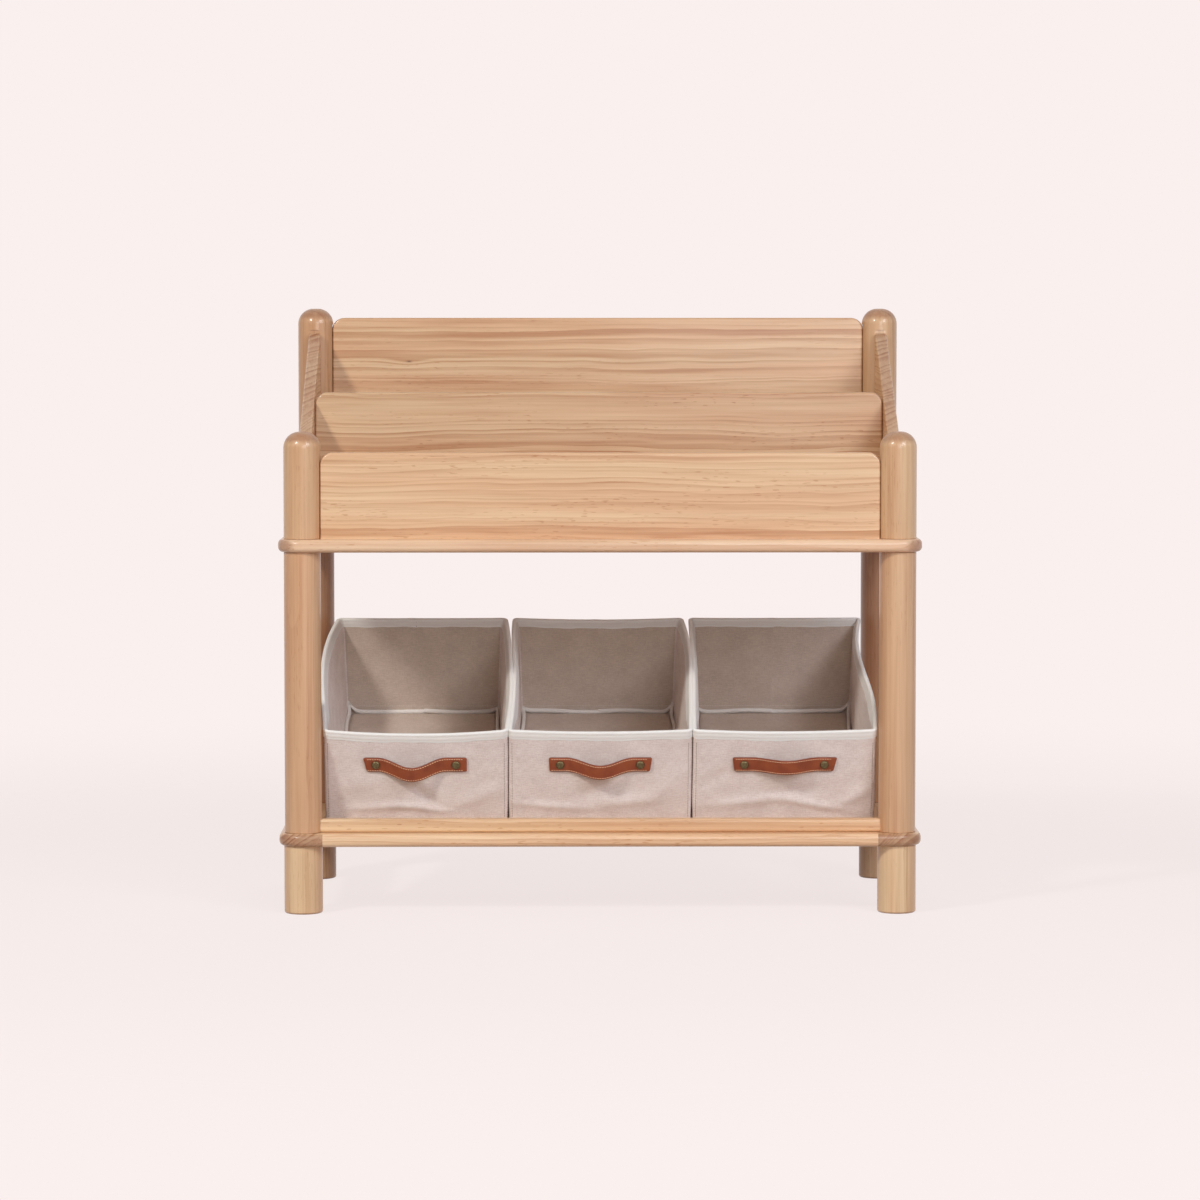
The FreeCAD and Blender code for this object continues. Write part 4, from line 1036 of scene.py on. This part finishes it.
@dataclass
class Studio:
    """Camera of the photograph, pale floor and soft light."""

    eye: tuple[float, float, float] = (-0.056, -5.764, 0.768)
    yaw: float = 0.57
    pitch: float = 3.86
    lens: float = 135.3
    backdrop: Colour = (250, 240, 238)
    floor_reach: float = 3.0
    floor_fade: tuple[float, float] = (0.8, 2.6)
    paper_glow: float = 0.84
    soft_light: float = 0.19
    aim: tuple[float, float, float] = (0.0, 0.0, 0.4)

    def camera(self) -> None:
        """Place the camera by its eye and two angles."""
        data = bpy.data.cameras.new("camera")
        data.sensor_width = 36
        data.lens = self.lens
        eye = bpy.data.objects.new("camera", data)
        eye.location = self.eye
        eye.rotation_euler = (math.radians(90 - self.pitch), 0, math.radians(-self.yaw))
        bpy.context.scene.collection.objects.link(eye)
        bpy.context.scene.camera = eye

    def lamp(self, name: str, place: tuple[float, float, float], size: float, power: float, colour: Colour,
             mirrored: bool = True) -> None:
        """Square softbox that faces the middle of the bookshelf.

        Args:
            name: name of the lamp.
            place: where it hangs.
            size: its width and height.
            power: watts.
            colour: its light.
            mirrored: whether glossy surfaces show it.
        """
        data = bpy.data.lights.new(name, "AREA")
        data.size = size
        data.energy = power
        data.color = colour
        box = bpy.data.objects.new(name, data)
        box.location = place
        box.visible_glossy = mirrored
        direction = box.location - Vector(self.aim)
        box.rotation_euler = direction.to_track_quat("Z", "Y").to_euler()
        bpy.context.scene.collection.objects.link(box)

    def world(self) -> None:
        """Even soft light, with the backdrop's colour where the camera or a gloss looks past the object."""
        world = bpy.data.worlds.new("studio")
        world.use_nodes = True
        tree = world.node_tree
        tree.nodes.clear()
        kinds = ("ShaderNodeLightPath", "ShaderNodeMath", "ShaderNodeMath", "ShaderNodeBackground",
                 "ShaderNodeBackground", "ShaderNodeMixShader", "ShaderNodeOutputWorld")
        path, seen, clear, soft, paper, mix, output = (tree.nodes.new(kind) for kind in kinds)
        seen.operation = "MAXIMUM"
        clear.operation = "MAXIMUM"
        soft.inputs["Color"].default_value = (1.0, 0.98, 0.97, 1)
        soft.inputs["Strength"].default_value = self.soft_light
        paper.inputs["Color"].default_value = srgb(*self.backdrop)
        links = (
            (path.outputs["Is Camera Ray"], seen.inputs[0]),
            (path.outputs["Is Glossy Ray"], seen.inputs[1]),
            (seen.outputs[0], clear.inputs[0]),
            (path.outputs["Is Transmission Ray"], clear.inputs[1]),
            (clear.outputs[0], mix.inputs[0]),
            (soft.outputs[0], mix.inputs[1]),
            (paper.outputs[0], mix.inputs[2]),
            (mix.outputs[0], output.inputs["Surface"]),
        )
        for start, end in links:
            tree.links.new(start, end)
        bpy.context.scene.world = world

    def floor(self) -> None:
        """Pale floor that melts into the backdrop away from the bookshelf."""
        reach = self.floor_reach
        mesh = bpy.data.meshes.new("floor")
        mesh.from_pydata([(-reach, -reach, 0), (reach, -reach, 0), (reach, reach, 0), (-reach, reach, 0)], [],
                         [(0, 1, 2, 3)])
        floor = bpy.data.objects.new("floor", mesh)
        bpy.context.scene.collection.objects.link(floor)
        graph = Graph("floor_paper")
        parts = graph.coordinates("Object")
        far = graph.distance(parts[0], parts[1])
        grain = graph.noise(parts, (60, 60, 60), 0.0, 3.0)
        path = graph.add("ShaderNodeLightPath")
        seen = graph.math("MAXIMUM", path.outputs["Is Camera Ray"], path.outputs["Is Glossy Ray"])
        seen = graph.math("MAXIMUM", seen, path.outputs["Is Transmission Ray"])
        pale = graph.blend(grain, srgb(250, 241, 239), srgb(248, 238, 236))
        graph.set(Base_Color=graph.blend(seen, srgb(190, 172, 162), pale), Roughness=0.95,
                  Specular_IOR_Level=0.0)
        paper = graph.add("ShaderNodeEmission")
        graph.feed(paper.inputs["Color"], srgb(*self.backdrop))
        lit = graph.add("ShaderNodeMixShader")
        graph.feed(lit.inputs[0], graph.math("MULTIPLY", seen, self.paper_glow))
        graph.feed(lit.inputs[1], graph.shader.outputs[0])
        graph.feed(lit.inputs[2], paper.outputs[0])
        clear = graph.add("ShaderNodeBsdfTransparent")
        mix = graph.add("ShaderNodeMixShader")
        graph.feed(mix.inputs[0], graph.math("MULTIPLY", graph.ease(far, *self.floor_fade), seen))
        graph.feed(mix.inputs[1], lit.outputs[0])
        graph.feed(mix.inputs[2], clear.outputs[0])
        graph.feed(graph.output.inputs["Surface"], mix.outputs[0])
        floor.data.materials.append(graph.material)

    def build(self) -> None:
        """Set up the whole studio."""
        bpy.context.scene.view_settings.view_transform = "Standard"
        self.camera()
        self.world()
        self.floor()
        self.lamp("left_softbox", (-2.5, -3.0, 3.0), size=0.5, power=90, colour=(1.0, 0.98, 0.91))
        self.lamp("right_softbox", (2.2, -3.0, 2.3), size=1.2, power=53, colour=(0.95, 1.0, 1.10))
        self.lamp("low_fill", (0.9, -4.2, 1.4), size=1.6, power=38, colour=(0.98, 1.0, 1.03))
        self.lamp("rear_softbox", (0.3, 3.4, 2.6), size=1.6, power=34, colour=(1.0, 1.0, 1.0), mirrored=False)


def main() -> None:
    """Build the pieces in order."""
    logging.basicConfig(level=logging.INFO, format="%(name)s: %(message)s")
    Studio().build()
    Woodwork().dress()
    dress_hardware()
    finishes = {
        "canvas": Canvas("linen_canvas", (250, 239, 234), (224, 207, 201)).material(),
        # The "lining" is the same canvas made darker: painted shade for the bins' inner front and rear walls
        # and their floors.
        "lining": Canvas("canvas_painted_shade", (224, 207, 194), (200, 181, 167)).material(),
        "twill": Twill("rim_twill", (254, 253, 251), (238, 234, 230), band=(0.0022, 0.0061)).material(),
        "piping": Twill("piping_twill", (248, 244, 240), (222, 214, 208)).material(),
        "leather": Leather("saddle_leather", (150, 71, 33), (132, 58, 25), (96, 42, 21)).material(),
        "thread": Thread("white_thread", (246, 242, 236), (214, 206, 198)).material(),
        "brown_thread": Thread("brown_thread", (150, 120, 104), (116, 88, 74)).material(),
        "tan_thread": Thread("tan_thread", (248, 206, 170), (222, 168, 128)).material(),
    }
    for side, shape in BIN_SHAPES.items():
        Bin(side, shape).build(finishes)


if __name__ == "__main__":
    main()
